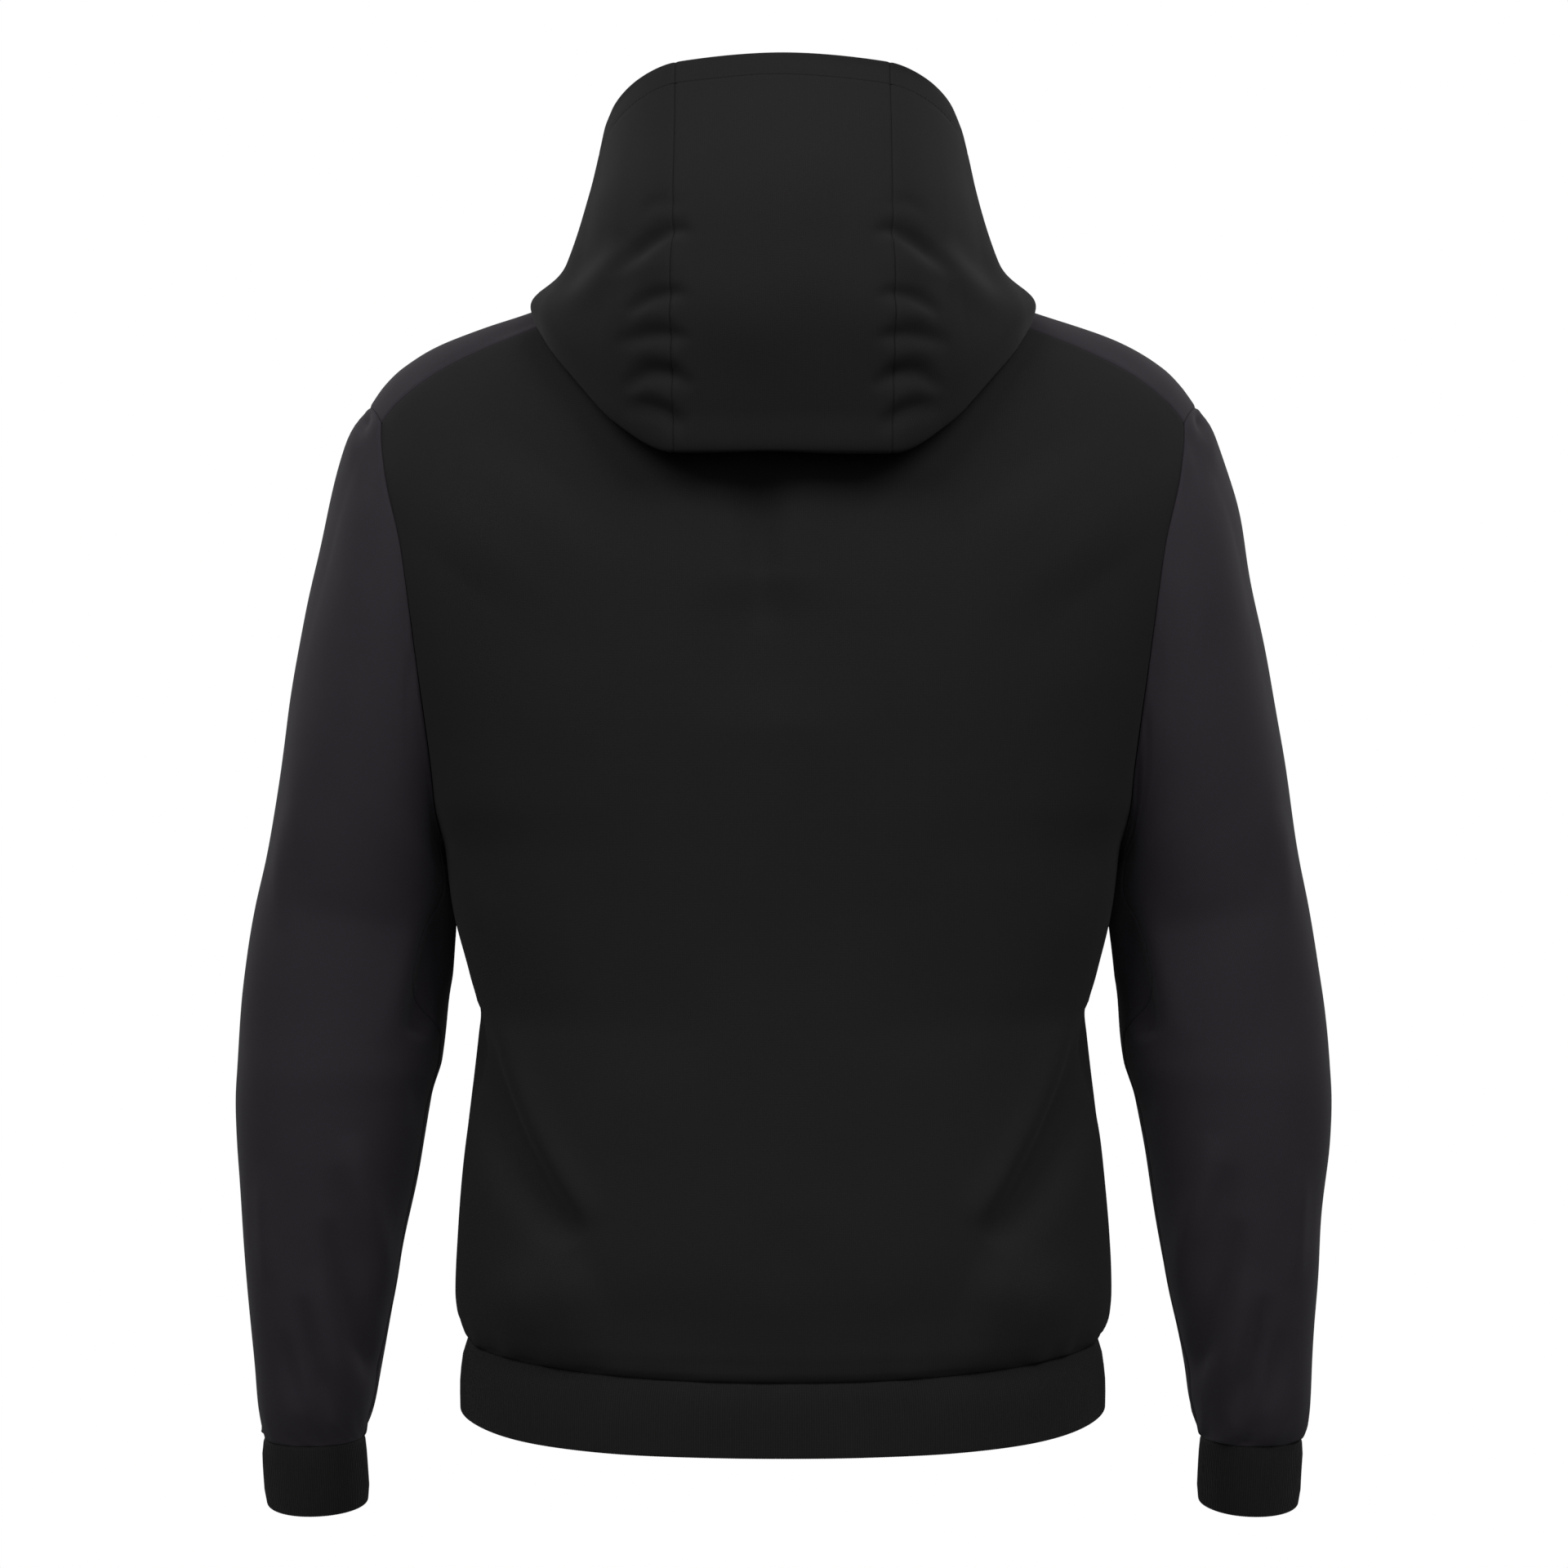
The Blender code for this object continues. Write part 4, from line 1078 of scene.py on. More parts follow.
        for word, flip in SIDES:
            grid = self.shoulder(reach, over) * flip
            wall = Wall(f"shoulder_{word}", f"shoulder_panel_{word}", grid, grid * UPRIGHT, self.cloth,
                        self.shoulder_cut, inner_step=2)
            wall.relief = wall.calm(self.shoulder_waves.on(grid, self.seeds[2]), *(self.shoulder_calm,) * 4)
            made.append(wall.build(PLUM_FLEECE))
        band = self.hem_band.build("hem_knit", "hem_rib", self.hem(), UPRIGHT, self.hem_cut, self.seeds[3])
        made.append(band)
        return made

    def hem(self) -> Array:
        """The hem rib's rings, which widen a little below the seam."""
        profile = table("along size", (0.0, 1.000), (0.25, 1.018), (0.65, 1.026), (1.0, 1.024))
        loop = evenly(self.hem_loop(), self.hem_band.points())
        along = spaced(self.hem_seam_z - self.hem_z, self.hem_step, edge=RIB_EDGE_STEPS)[:, None]
        x, y = (loop[:, axis] * read(profile, "size", along) for axis in (0, 1))
        lifted = self.hem_z + self.hem_lift * (np.abs(x) / np.abs(x).max()) ** self.hem_lift_power
        return np.stack((x, y, loop[:, 2] + (lifted - loop[:, 2]) * along), axis=-1)


@dataclass
class Sleeves:
    """Both sleeves and their cuffs; the left one is worked out, the right is its mirror image."""

    cloth: float = 0.0022
    row_step: float = 0.0027
    column_step: float = 0.0022
    front_column_step: float = 0.00308
    girth: float = 0.37
    seam_turn: float = 0.955
    seeds: tuple[int, int] = (21, 22)
    seam_ridge: float = 0.0004
    seam_aside: float = 0.0026
    head_calm: float = 0.005
    wrist_calm: float = 0.012
    waves: Waves = Waves(0.0007, 0.05, 0.14)
    waves_start: float = 0.03
    wrist_gathers: Gathers = Gathers(0.015, 0.0011, 0.024)
    head_gathers: Gathers = Gathers(0.030, 0.0006, 0.020)
    cuff_length: float = 0.0435
    cuff_step: float = 0.008
    cuff_tilt: float = 0.10
    cuff_down: tuple[float, float, float] = (-0.02, -0.17, -1.0)
    cuff_band: RibBand = RibBand(140, 6, 0.00032, Waves(0.0003, 0.03, 0.09), 0.010)
    cut: Cut = Cut(0.656, 0.658, 0.187, "draped", ("shoulder_left", "shoulder_right", "back", "front"))
    cuff_cut: Cut = Cut(0.196, 0.046, 0.0089, "stretched", ())

    def turns(self) -> Array:
        """Columns round the arm in half turns, from 0 on top over 1 underneath to 2.

        They crowd together on both sides of the underarm seam.
        """
        rest = 2 - self.seam_turn
        behind = spaced(self.girth / 2 * self.seam_turn, self.column_step, start=False) * self.seam_turn
        before = self.seam_turn + spaced(self.girth / 2 * rest, self.front_column_step, end=False) * rest
        return np.concatenate((behind, before[1:]))

    def wandering(self, turn: Array, inner_z: Array) -> Array:
        """Columns moved round the arm row by row, so that the seam's column follows its own way.

        Each side of the seam is stretched or pressed together evenly.

        Args:
            turn: the columns, in half turns.
            inner_z: the height of each row's inner end.

        Returns:
            The columns of each row, in half turns.
        """
        seam = read(UNDER_SEAM, "turn", inner_z)[:, None]
        behind = turn * seam / self.seam_turn
        before = 2.0 - (2.0 - turn) * (2.0 - seam) / (2.0 - self.seam_turn)
        return np.where(turn <= self.seam_turn, behind, before)

    def tube(self, behind: Array, before: Array, turn: Array) -> Array:
        """Rings from the armhole to the cuff seam.

        A ring is an ellipse between its outer and inner ends, blended at the top with the armhole's
        own outline moved along the arm.

        Args:
            behind: the armhole's back half, from the top to the underarm.
            before: its front half.
            turn: the columns, in half turns.

        Returns:
            Points, rows from the shoulder down.
        """
        ends = [SLEEVE[key] for key in ("outer_x", "inner_x", "outer_z", "inner_z")]
        middle = np.stack(((ends[0] + ends[1]) / 2, SLEEVE["centre_y"], (ends[2] + ends[3]) / 2), axis=-1)
        way = running_length(middle)
        at = way[-1] * spaced(way[-1], self.row_step)
        section = {key: smooth(at, way, SLEEVE[key])[:, None] for key in SLEEVE}
        turn = self.wandering(turn, section["inner_z"][:, 0])
        hole = np.empty((*turn.shape, 3))
        for half, mask, share in ((behind, turn <= 1, turn), (before, turn > 1, 2 - turn)):
            length = running_length(half)
            hole[mask] = along_line(half, length, share[mask] * length[-1])
        top, under = behind[0], behind[-1]
        length = math.hypot(top[0] - under[0], top[2] - under[2])
        ux, uz = (top[0] - under[0]) / length, (top[2] - under[2]) / length
        share = ((hole[..., 0] - under[0]) * ux + (hole[..., 2] - under[2]) * uz) / length
        aside = (hole[..., 0] - under[0]) * uz - (hole[..., 2] - under[2]) * ux
        own = section["armhole_share"]
        across = own * share + (1 - own) * (1 + np.cos(turn * np.pi)) / 2
        round_y = (1 - own) * section["half_depth"] * np.sin(turn * np.pi)
        deep = own * hole[..., 1] * section["half_depth"] / SLEEVE["half_depth"][0] + round_y
        ix, iz = section["inner_x"], section["inner_z"]
        dx, dz = section["outer_x"] - ix, section["outer_z"] - iz
        aside = own * aside / np.hypot(dx, dz)
        return np.stack((ix + dx * across + aside * dz, section["centre_y"] + deep,
                         iz + dz * across - aside * dx), axis=-1)

    def build(self, behind: Array, before: Array) -> list[Piece]:
        """Make both sleeves and cuffs.

        Args:
            behind: the left armhole's back half.
            before: its front half.

        Returns:
            The new pieces.
        """
        turn = self.turns()
        tube = self.tube(behind, before, turn)
        cuff = self.cuff(tube[-1])
        seam = np.argmin(np.abs(turn - self.seam_turn))
        made = []
        for (word, flip), seed in zip(SIDES, self.seeds):
            grid, rings, name = tube * flip, cuff * flip, f"sleeve_{word}_cloth"
            wall = Wall(name, f"sleeve_{word}", grid, grid.mean(axis=1, keepdims=True),
                        self.cloth, self.cut, tube=True, inner_step=4, square_ends=((1, self.down() * flip),))
            head, wrist, around, _ = wall.reaches
            relief = creases_facing(wall, SLEEVE_BACK_CREASES, SLEEVE_FRONT_CREASES)
            relief += wall.calm(self.waves.on(grid, seed), self.waves_start)
            relief = wall.calm(relief, self.head_calm, self.wrist_calm)
            relief += self.wrist_gathers.on(wrist, around, seed)
            wall.relief = relief + self.head_gathers.on(head, around, seed + 5)
            aside = from_column(around, seam)
            ridge = self.seam_ridge * bell(aside - self.seam_aside, self.seam_aside)
            wall.texture = ridge - Wall.SEAM_DEPTH * bell(aside, Wall.SEAM_REACH)
            wall.line = aside
            made.append(wall.build(PLUM_FLEECE))
            made.append(self.cuff_band.build(
                f"cuff_{word}_knit", f"cuff_{word}", rings, unit(rings[-1].mean(axis=0) - rings[0].mean(axis=0)),
                replace(self.cuff_cut, rests_on=(name,)), seed + 3))
        return made

    def cuff(self, ring: Array) -> Array:
        """The cuff's rings, straight on from the sleeve's last ring along the forearm's lean.

        Args:
            ring: the sleeve's last ring.

        Returns:
            Points, rows from the seam down.
        """
        profile = table("along size", (0.0, 1.0), (0.30, 1.03), (0.75, 1.03), (1.0, 0.99))
        ring = evenly(ring, self.cuff_band.points())
        middle = ring[:-1].mean(axis=0)
        along = spaced(self.cuff_length, self.cuff_step, edge=RIB_EDGE_STEPS)[:, None, None]
        rings = middle + self.down() * self.cuff_length * along + (ring - middle) * read(profile, "size", along)
        rings[..., 2] -= self.cuff_tilt * along[..., 0] * (ring[:, 1] - middle[1])
        return rings

    def down(self) -> Array:
        """The way the left forearm and cuff hang."""
        return unit(np.array(self.cuff_down))


@dataclass
class Hood:
    """The hood, folded back: a centre panel between two side panels, and its stitched rim."""

    centre_share: float = 3 / 7
    cloth: float = 0.0022
    neck_lift: float = 0.0005
    centre_width: float = 0.060
    centre_step: float = 0.0018
    side_width: float = 0.380
    side_step: float = 0.0020
    rows: tuple[int, ...] = (5, 14, 8, 8, 92, 46)
    rim_height: float = 0.110
    waves: Waves = Waves(0.0005, 0.04, 0.12)
    seed: int = 31
    neck_calm: float = 0.012
    rim_calm: float = 0.006
    turned_width: float = 0.0165
    turned_cloth: float = 0.0014
    turned_slope: float = 0.0015
    turned_past: float = 0.001
    groove_depth: float = 0.0004
    groove_width: float = 0.0009
    stitch_pitch: float = 0.0032
    stitch_length: float = 0.0024
    stitch_radius: float = 0.00028
    stitch_arch: float = 0.00025
    stitch_ahead: float = 0.0005
    stitch_sides: int = 6
    centre_cut: Cut = Cut(0.137, 0.415, 0.0523, "folded", ("back",))
    side_cut: Cut = Cut(0.440, 0.415, 0.0596, "gathered", ("shoulder_left", "shoulder_right", "back"))

    def through(self, guides: Array) -> Array:
        """Smooth columns through guide points: cubic curves whose slopes weigh both chords.

        Args:
            guides: the guide points, from the neck seam to the rim.

        Returns:
            Points, rows from the neck seam to the rim.
        """
        gaps = np.linalg.norm(np.diff(guides, axis=0), axis=-1, keepdims=True)
        chords = np.diff(guides, axis=0) / gaps
        inner = (chords[:-1] * gaps[1:] + chords[1:] * gaps[:-1]) / (gaps[:-1] + gaps[1:])
        slopes = np.concatenate((chords[:1], inner, chords[-1:]))
        shares = [np.linspace(0.0, 1.0, count + 1) for count in self.rows]
        shares[-1] = spaced(self.rim_height, self.rim_height / self.rows[-1], start=False)
        lines = [cubic(t[:-1, None, None], guides[k], guides[k + 1], gaps[k] * slopes[k], gaps[k] * slopes[k + 1])
                 for k, t in enumerate(shares)]
        return np.concatenate(lines + [guides[-1:]])

    def across_middle(self, station: Array, rows: Rows) -> Array:
        """Read a guide line as one curve with its mirror image, so that it crosses the middle level."""
        at = np.concatenate(([-rows["station"][1]], rows["station"]))
        ends = [np.concatenate(([sign * rows[axis][1]], rows[axis])) for axis, sign in zip("xyz", (-1, 1, 1))]
        return np.stack([smooth(station, at, line) for line in ends], axis=-1)

    def cloth_at(self, neck: Array, length: Array) -> Array:
        """The left half of the hood on some stretch of the neck edge.

        Args:
            neck: the neck edge.
            length: the columns, by their length along the neck edge.

        Returns:
            Points, rows from the neck seam over the lip to the rim.
        """
        way = running_length(neck)
        foot = along_line(neck, way, length) + self.neck_lift * UPRIGHT
        station = length / way[-1]
        fold = {key: read(HOOD_FOLD, key, station)[:, None] for key in HOOD_FOLD}
        lip, middle, rim_ = (self.across_middle(station, rows) for rows in (HOOD_LIP, HOOD_MID, HOOD_RIM))
        out = unit((lip - foot) * LEVEL)
        crest = foot + unit(out + unit(foot * LEVEL)) * fold["crest_out"] + UPRIGHT * fold["crest_up"]
        onward = unit(middle - crest) * (1 - fold["folded"])
        inside = lip + fold["radius"] * ((UPRIGHT - out) * fold["folded"] - onward)
        outside = lip + (fold["rise"] * UPRIGHT + fold["radius"] * out) * fold["folded"] + fold["radius"] * onward
        guides = np.stack((foot, crest, inside, lip, outside, middle, rim_))
        guides[:, np.isclose(station, 0.0) | np.isclose(station, 1.0), 0] = 0.0
        return self.through(guides)

    def build(self, neck: Array, marks: Array) -> list[Piece]:
        """Make the hood's three panels and the stitches along its rim.

        Args:
            neck: the left half of the neck edge.
            marks: lengths along it of the panels' seam and the end.

        Returns:
            The new pieces.
        """
        seam, whole = marks
        columns = seam * spaced(self.centre_width, self.centre_step, start=False)
        centre = both_halves(self.cloth_at(neck, columns))
        side = self.cloth_at(neck, seam + (whole - seam) * spaced(self.side_width, self.side_step, end=False))
        made, rims = [], []
        for name, grid, cut in (
            ("hood_centre", centre, self.centre_cut),
            ("hood_side_left", side, self.side_cut),
            ("hood_side_right", side * MIRROR, self.side_cut),
        ):
            wall = Wall(f"{name}_cloth", name, grid, grid.mean(axis=0, keepdims=True), self.cloth, cut,
                        inner_step=2, edges=ONE_TURNED)
            rim_away = wall.reaches[1]
            relief = creases_facing(wall, HOOD_BACK_CREASES, HOOD_FRONT_CREASES) + self.waves.on(grid, self.seed)
            wall.relief = wall.calm(relief, self.neck_calm, self.rim_calm)
            wall.line = rim_away - self.turned_width
            wall.texture = -self.groove_depth * bell(wall.line, self.groove_width)
            wall.inner_extra = self.turned_cloth * ease(self.turned_past - wall.line, self.turned_slope)
            rims.append(wall.line_at(rim_away, self.turned_width))
            made.append(wall.build(BLACK_FLEECE))
        points, normals = (np.concatenate((right[:0:-1], middle, left[1:])) for middle, left, right in zip(*rims))
        made.append(self.stitches(points, normals))
        return made

    def stitches(self, line: Array, normals: Array) -> Piece:
        """The rim's stitches: short six-sided spindles, laid end to end along a line.

        Args:
            line: the line's points.
            normals: the cloth's normals there.

        Returns:
            The new piece.
        """
        way = running_length(line)
        middles = np.arange(self.stitch_pitch, way[-1] - self.stitch_pitch, self.stitch_pitch)
        centre = along_line(line, way, middles)
        tangent = unit(along_line(line, way, middles + self.stitch_ahead) - centre)
        side = unit(np.cross(tangent, unit(along_line(normals, way, middles))))
        up = np.cross(side, tangent)
        turn = np.linspace(0.0, 2 * np.pi, self.stitch_sides, endpoint=False)
        rings = table("along size", (-0.5, 0.35), (-0.36, 0.9), (0.0, 1.0), (0.36, 0.9), (0.5, 0.35))
        along, size = (rings[key][:, None] for key in ("along", "size"))
        size = size * self.stitch_radius
        arch = -self.stitch_arch * (2 * np.abs(along)) ** 2
        shape = (tangent[:, None, None] * (along * self.stitch_length * np.ones(len(turn)))[..., None]
                 + side[:, None, None] * (size * np.cos(turn))[..., None]
                 + up[:, None, None] * (size * np.sin(turn) + arch)[..., None])
        ids = np.arange(size.size * len(turn)).reshape(-1, len(turn))
        first = np.arange(len(centre))[:, None, None] * ids.size
        faces = (skin(closed(ids)) + first).reshape(-1, 4).tolist()
        faces += [end for ring in (ids[0][::-1], ids[-1]) for end in (ring + first[:, 0]).tolist()]
        points = (centre[:, None, None] + shape).reshape(-1, 3)
        piece = make_mesh("rim_stitches", points, faces, THREAD.material())
        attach(piece, "root")
        LOG.info("rim_stitches: %d stitches", len(centre))
        return piece


# ---------------------------------------------------------------- finishes

class Shade:
    """A socket that Python's operators work on, each by adding a Math node."""

    def __init__(self, graph: "Graph", socket: Socket) -> None:
        """Wrap a socket of a graph."""
        self.graph = graph
        self.socket = socket

    def _math(self, operation: str, *terms: "Shade | float") -> "Shade":
        """A Math node on some terms."""
        return self.graph.value("ShaderNodeMath", {"operation": operation}, dict(enumerate(terms)))

    def __add__(self, other: "Shade | float") -> "Shade":
        """The sum."""
        return self._math("ADD", self, other)

    def __mul__(self, other: "Shade | float") -> "Shade":
        """The product."""
        return self._math("MULTIPLY", self, other)

    def __sub__(self, other: "Shade | float") -> "Shade":
        """The difference."""
        return self._math("SUBTRACT", self, other)

    def __rsub__(self, other: "Shade | float") -> "Shade":
        """The difference, the other way round."""
        return self._math("SUBTRACT", other, self)

    def __truediv__(self, other: "Shade | float") -> "Shade":
        """The quotient."""
        return self._math("DIVIDE", self, other)

    def __abs__(self) -> "Shade":
        """The value without its sign."""
        return self._math("ABSOLUTE", self)

    __radd__ = __add__
    __rmul__ = __mul__

    def above_zero(self) -> "Shade":
        """The value, or 0 where it is less."""
        return self._math("MAXIMUM", self, 0.0)

    def wave(self) -> "Shade":
        """How far the value is from a whole number, doubled: 0 at whole numbers and 1 half way."""
        return self._math("PINGPONG", self, 0.5) * 2.0


class Graph:
    """The nodes of one material or world."""

    def __init__(self, owner: bpy.types.Material | bpy.types.World) -> None:
        """Start on the owner's emptied tree."""
        owner.use_nodes = True
        self.tree = owner.node_tree
        self.tree.nodes.clear()

    def node(self, kind: str, settings: dict | None = None, inputs: dict | None = None) -> bpy.types.Node:
        """Add a node.

        Args:
            kind: its type.
            settings: its settings, put in first.
            inputs: values or links by socket name or number.

        Returns:
            The node.
        """
        node = self.tree.nodes.new(kind)
        for key, value in (settings or {}).items():
            setattr(node, key, value)
        for key, value in (inputs or {}).items():
            if isinstance(value, Shade):
                value = value.socket
            if isinstance(value, Socket):
                self.tree.links.new(value, node.inputs[key])
            else:
                node.inputs[key].default_value = value
        return node

    def value(self, kind: str, settings: dict, inputs: dict, output: int | str = 0) -> Shade:
        """Add a node and wrap one of its outputs."""
        return Shade(self, self.node(kind, settings, inputs).outputs[output])

    def place(self, kind: str = "Object") -> Socket:
        """A texture coordinate."""
        return self.node("ShaderNodeTexCoord").outputs[kind]

    def parts(self, vector: Socket) -> list[Shade]:
        """A vector's three numbers."""
        return [Shade(self, part) for part in self.node("ShaderNodeSeparateXYZ", None, {0: vector}).outputs]

    def noise(self, place: Socket, scale: float, detail: float, rough: float = 0.5) -> Shade:
        """Smooth noise from 0 to 1, so many times a metre."""
        return self.value("ShaderNodeTexNoise", {"noise_dimensions": "3D"},
                          {"Vector": place, "Scale": scale, "Detail": detail, "Roughness": rough})

    def blend(self, share: Shade, *ends: tuple[float, ...] | Socket) -> Socket:
        """A colour between two others, each given by its numbers or as a socket."""
        low, high = ((*end, 1.0) if isinstance(end, tuple) else end for end in ends)
        return self.node("ShaderNodeMix", {"data_type": "RGBA"}, {0: share, 6: low, 7: high}).outputs[2]


class Knit(Enum):
    """How a cloth's face is knitted."""

    JERSEY = "rows of small V stitches"
    RIB = "upright ribs with short cross stitches"
    THREAD = "twisted thread"


@dataclass(frozen=True)
class Finish:
    """A cloth's or thread's colour and surface."""

    name: str
    slot: str
    colour: tuple[float, float, float]
    knit: Knit
    roughness: float
    sheen: float
    sheen_roughness: float
    specular: float
    mottle_and_shade: float
    bump: float
    wale: float = 0.00115
    course: float = 0.00090
    # width of the painted shade along each seam and along the sewn line, and how dark it paints the colour
    seam_shade_width: float = 0.0006
    sewn_shade_width: float = 0.0007
    painted_shade_level: float = 0.50

    # noise by its number of spots a metre, its detail and its roughness
    FIBRE, BLOTCH, TWIST = (1500.0, 3.0, 0.7), (38.0, 2.0), (4000.0, 1.0)
    TONE_AND_SHADE = (0.35, 0.15, 0.5)    # shares of fibre, blotch and knitting in the colour; the knitting's share is painted shade, darker in the hollows of the stitches and between the ribs
    RISE = (0.5, 0.6)           # shares of fibre and knitting in the bumps
    ROUGH_SPREAD = 0.06
    BUMP_HEIGHT = 0.0003
    RIB_SHARE, LEG_SHARE, LEAN = 0.6, 0.4, 0.5

    def material(self) -> bpy.types.Material:
        """The finish as a material, made once."""
        known = bpy.data.materials.get(self.name)
        if known:
            return known
        material = bpy.data.materials.new(self.name)
        graph = Graph(material)
        fibre, blotch = (graph.noise(graph.place(), *noise) for noise in (self.FIBRE, self.BLOTCH))
        knitting = self.knitting(graph)
        # fibre and blotch are the cloth's own uneven tone; the knitting's share paints shade into the hollows of
        # the stitches and ribs
        tone_and_shade = fibre * self.TONE_AND_SHADE[0] + blotch * self.TONE_AND_SHADE[1] + knitting * self.TONE_AND_SHADE[2]
        height = knitting * self.RISE[1] + fibre * self.RISE[0]
        low, high = (tuple(part * (1 + way * self.mottle_and_shade) for part in self.colour) for way in (-1, 1))
        normal = graph.node("ShaderNodeBump", None, {
            "Strength": self.bump, "Distance": self.BUMP_HEIGHT, "Height": height})
        shader = graph.node("ShaderNodeBsdfPrincipled", None, {
            "Base Color": self.with_painted_seam_shade(graph, graph.blend(tone_and_shade, low, high)),
            "Roughness": self.roughness - self.ROUGH_SPREAD + fibre * (2 * self.ROUGH_SPREAD),
            "Normal": normal.outputs[0],
            "Specular IOR Level": self.specular,
            "Sheen Weight": self.sheen,
            "Sheen Roughness": self.sheen_roughness,
        })
        graph.node("ShaderNodeOutputMaterial", None, {"Surface": shader.outputs[0]})
        return material

    def with_painted_seam_shade(self, graph: Graph, colour: Socket) -> Socket:
        """The colour with painted shade: darker in the narrow gap at each seam and along the sewn line, as shade
        in their grooves.
        """
        if self.knit is Knit.THREAD:
            return colour
        marks = graph.node("ShaderNodeAttribute", {"attribute_name": "SeamShadeReach"}).outputs["Vector"]
        seam, line, _ = graph.parts(marks)
        # share of painted seam shade: 1 on a seam or the sewn line, 0 from the shade's width on
        near = (1.0 - seam / self.seam_shade_width).above_zero() + (1.0 - abs(line) / self.sewn_shade_width).above_zero()
        return graph.blend(near, colour, tuple(part * self.painted_shade_level for part in self.colour))

    def knitting(self, graph: Graph) -> Shade:
        """Height of the stitches, from 0 to 1, on the cloth's own length and width.

        V stitches are waves whose phase leans one way on each side of a wale. Cross stitches are
        plain waves up the rib.
        """
        if self.knit is Knit.THREAD:
            return graph.noise(graph.place(), *self.TWIST)
        across, along, _ = graph.parts(graph.node("ShaderNodeUVMap", {"uv_map": "Cloth"}).outputs[0])
        course = along / self.course
        if self.knit is Knit.RIB:
            return course.wave() * (1 - self.RIB_SHARE) + (across / RIB_PITCH).wave() * self.RIB_SHARE
        leg = (across / self.wale).wave()
        return (course + leg * self.LEAN).wave() * (1 - self.LEG_SHARE) + leg * self.LEG_SHARE


BLACK_FLEECE = Finish("black_fleece_cloth", "black_fleece", (0.0222, 0.0210, 0.0216), Knit.JERSEY,
                      0.95, 0.03, 0.60, 0.08, 0.22, 0.30)
PLUM_FLEECE = Finish("plum_fleece_cloth", "plum_fleece", (0.0400, 0.0348, 0.0428), Knit.JERSEY,
                     0.95, 0.05, 0.60, 0.10, 0.20, 0.30)
BLACK_RIB = Finish("black_rib_knit", "black_rib", (0.0178, 0.0175, 0.0175), Knit.RIB,
                   0.90, 0.16, 0.40, 0.14, 0.60, 0.50)
THREAD = Finish("black_thread", "black_fleece", (0.0160, 0.0154, 0.0157), Knit.THREAD,
                0.70, 0.03, 0.50, 0.20, 0.15, 0.4)


# ---------------------------------------------------------------- studio

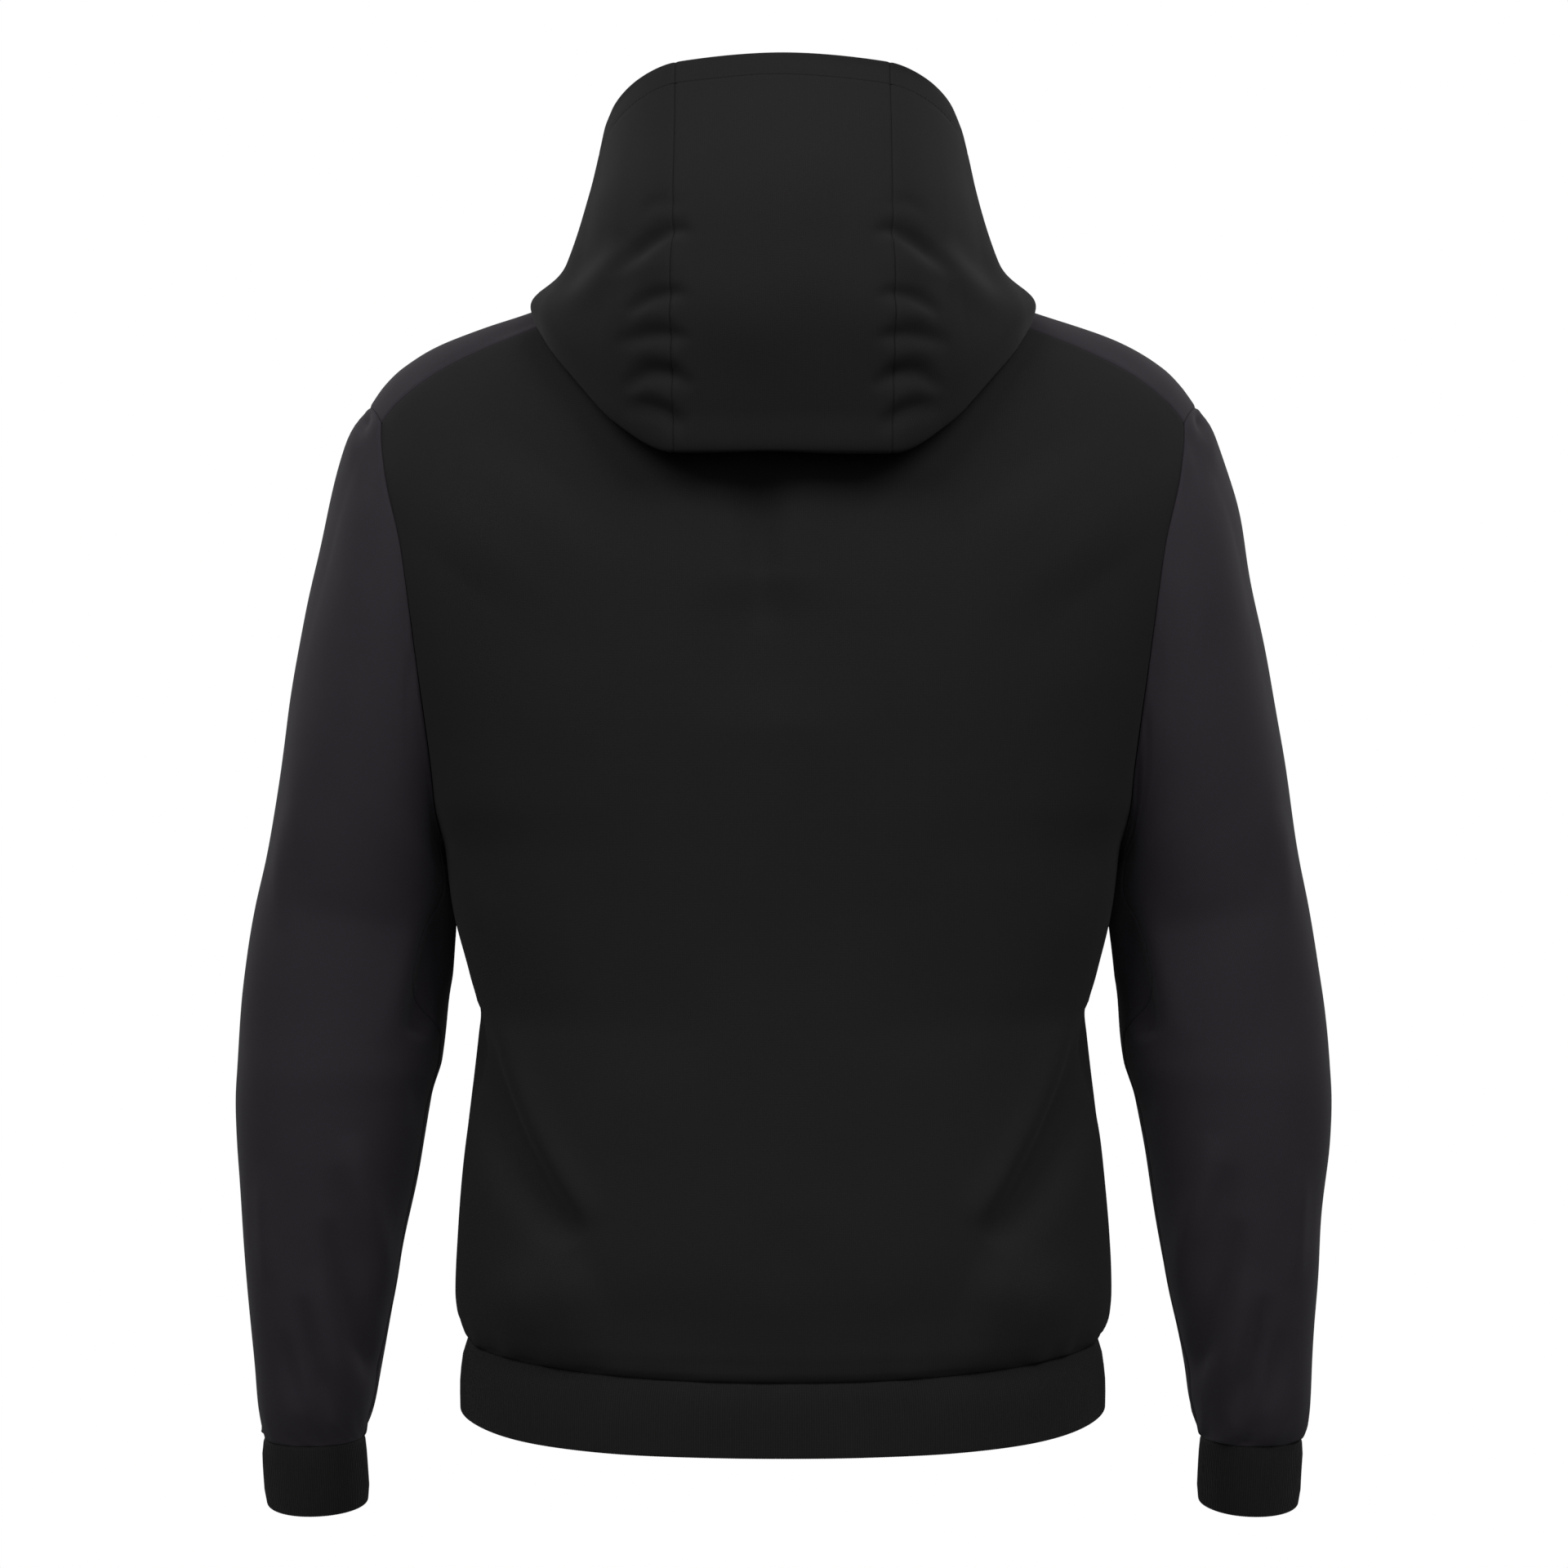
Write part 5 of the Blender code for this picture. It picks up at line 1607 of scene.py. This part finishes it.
@dataclass
class Studio:
    """Pale floor, white surround, soft lights and the camera."""

    floor_z: float = -1.47
    floor_radius: float = 1.1
    floor_grey: float = 0.45
    floor_roughness: float = 0.9
    floor_specular: float = 0.1
    floor_hole: float = 0.02
    floor_rings: int = 25
    floor_sides: int = 96
    camera_at: tuple[float, float, float] = (0.0, 1.70, -0.3075)
    lens: float = 63.75
    sensor: float = 36.0
    shift: float = 0.0008
    surround: float = 1.0
    fill: float = 0.26

    # place, the point it faces, side in metres, power in watts
    LEVEL_LIGHT = ((0.0, 2.8, 0.1), (0.0, 0.0, -0.3), 1.6, 7.0)
    TWIN_LIGHTS = {
        "back_light": ((1.6, 1.9, 1.6), (0.0, 0.0, -0.3), 1.6, 34.0),
        "rim_light": ((1.9, -1.7, 0.7), (0.1, 0.0, -0.3), 1.4, 25.0),
    }

    def build(self) -> None:
        """Set up the studio round the garment."""
        self.floor()
        self.world()
        self.camera()
        self.light("level_light", *self.LEVEL_LIGHT)
        for name, (place, aim, size, power) in self.TWIN_LIGHTS.items():
            for word, flip in SIDES:
                self.light(f"{word}_{name}", tuple(place * flip), tuple(aim * flip), size, power)

    def light(self, name: str, place: tuple, aim: tuple, size: float, power: float) -> None:
        """A soft square light that doesn't show itself.

        Args:
            name: its name.
            place: where it stands.
            aim: the point it faces.
            size: its side in metres.
            power: its power in watts.
        """
        lamp = bpy.data.lights.new(name, "AREA")
        lamp.size = size
        lamp.energy = power
        light = bpy.data.objects.new(name, lamp)
        light.location = place
        light.rotation_euler = look(place, aim)
        light.visible_camera = False
        bpy.context.scene.collection.objects.link(light)

    def camera(self) -> None:
        """The camera, level and straight behind the garment."""
        lens = bpy.data.cameras.new("camera")
        lens.lens = self.lens
        lens.sensor_width = self.sensor
        lens.shift_x = self.shift
        camera = bpy.data.objects.new("camera", lens)
        camera.location = self.camera_at
        camera.rotation_euler = (math.pi / 2, 0.0, math.pi)
        bpy.context.scene.collection.objects.link(camera)
        bpy.context.scene.camera = camera

    def world(self) -> None:
        """A surround that shows white and lights the garment softly from above.

        Its light grows with the height that it comes from and is 0 at the horizon.
        """
        scene = bpy.context.scene
        scene.view_settings.view_transform = "Standard"
        scene.world = bpy.data.worlds.new("surround")
        graph = Graph(scene.world)
        dark, bright, seen = (
            graph.node("ShaderNodeBackground", None, {0: (1.0, 1.0, 1.0, 1.0), 1: strength}).outputs[0]
            for strength in (0.0, self.fill, self.surround))
        high = graph.parts(graph.place("Generated"))[2].above_zero()
        fill = graph.node("ShaderNodeMixShader", None, {0: high, 1: dark, 2: bright}).outputs[0]
        camera_ray = graph.node("ShaderNodeLightPath").outputs["Is Camera Ray"]
        mix = graph.node("ShaderNodeMixShader", None, {0: camera_ray, 1: fill, 2: seen})
        graph.node("ShaderNodeOutputWorld", None, {0: mix.outputs[0]})

    def floor(self) -> None:
        """A pale round floor well below the garment, clear at its rim: rings of growing radius."""
        turn = np.linspace(0.0, 2 * np.pi, self.floor_sides, endpoint=False)
        reach = np.linspace(self.floor_hole, 1.0, self.floor_rings)[:, None] * self.floor_radius
        points = np.stack((reach * np.cos(turn), reach * np.sin(turn), self.floor_z + 0 * reach * turn), axis=-1)
        ids = np.arange(reach.size * turn.size).reshape(reach.size, turn.size)
        faces = skin(closed(ids))[:, ::-1].tolist() + [ids[0].tolist()]
        material = bpy.data.materials.new("pale_floor")
        graph = Graph(material)
        away = graph.value("ShaderNodeVectorMath", {"operation": "LENGTH"}, {0: graph.place()}, "Value")
        spread = (away * away - self.floor_z ** 2) / self.floor_radius ** 2
        shader = graph.node("ShaderNodeBsdfPrincipled", None, {
            "Base Color": (self.floor_grey,) * 3 + (1.0,), "Roughness": self.floor_roughness,
            "Specular IOR Level": self.floor_specular, "Alpha": 1.0 - spread})
        graph.node("ShaderNodeOutputMaterial", None, {"Surface": shader.outputs[0]})
        make_mesh("floor", points.reshape(-1, 3), faces, material)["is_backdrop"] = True


def look(place: tuple, aim: tuple) -> tuple[float, float, float]:
    """The turn of a light that stands at one point and faces another."""
    dx, dy, dz = (b - a for a, b in zip(place, aim))
    return math.atan2(math.hypot(dx, dy), -dz), 0.0, math.atan2(dy, dx) - math.pi / 2


def main() -> None:
    """Build the garment piece by piece, then the studio round it."""
    logging.basicConfig(level=logging.INFO, format="%(name)s: %(message)s")
    body = Body()
    made = body.build()
    made += Sleeves().build(*body.armhole())
    made += Hood().build(*body.neck_edge())
    Studio().build()
    LOG.info("%d pieces", len(made))
    [np.array(box).tolist() for box in (CAD_BOX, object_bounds())]


if __name__ == "__main__":
    main()
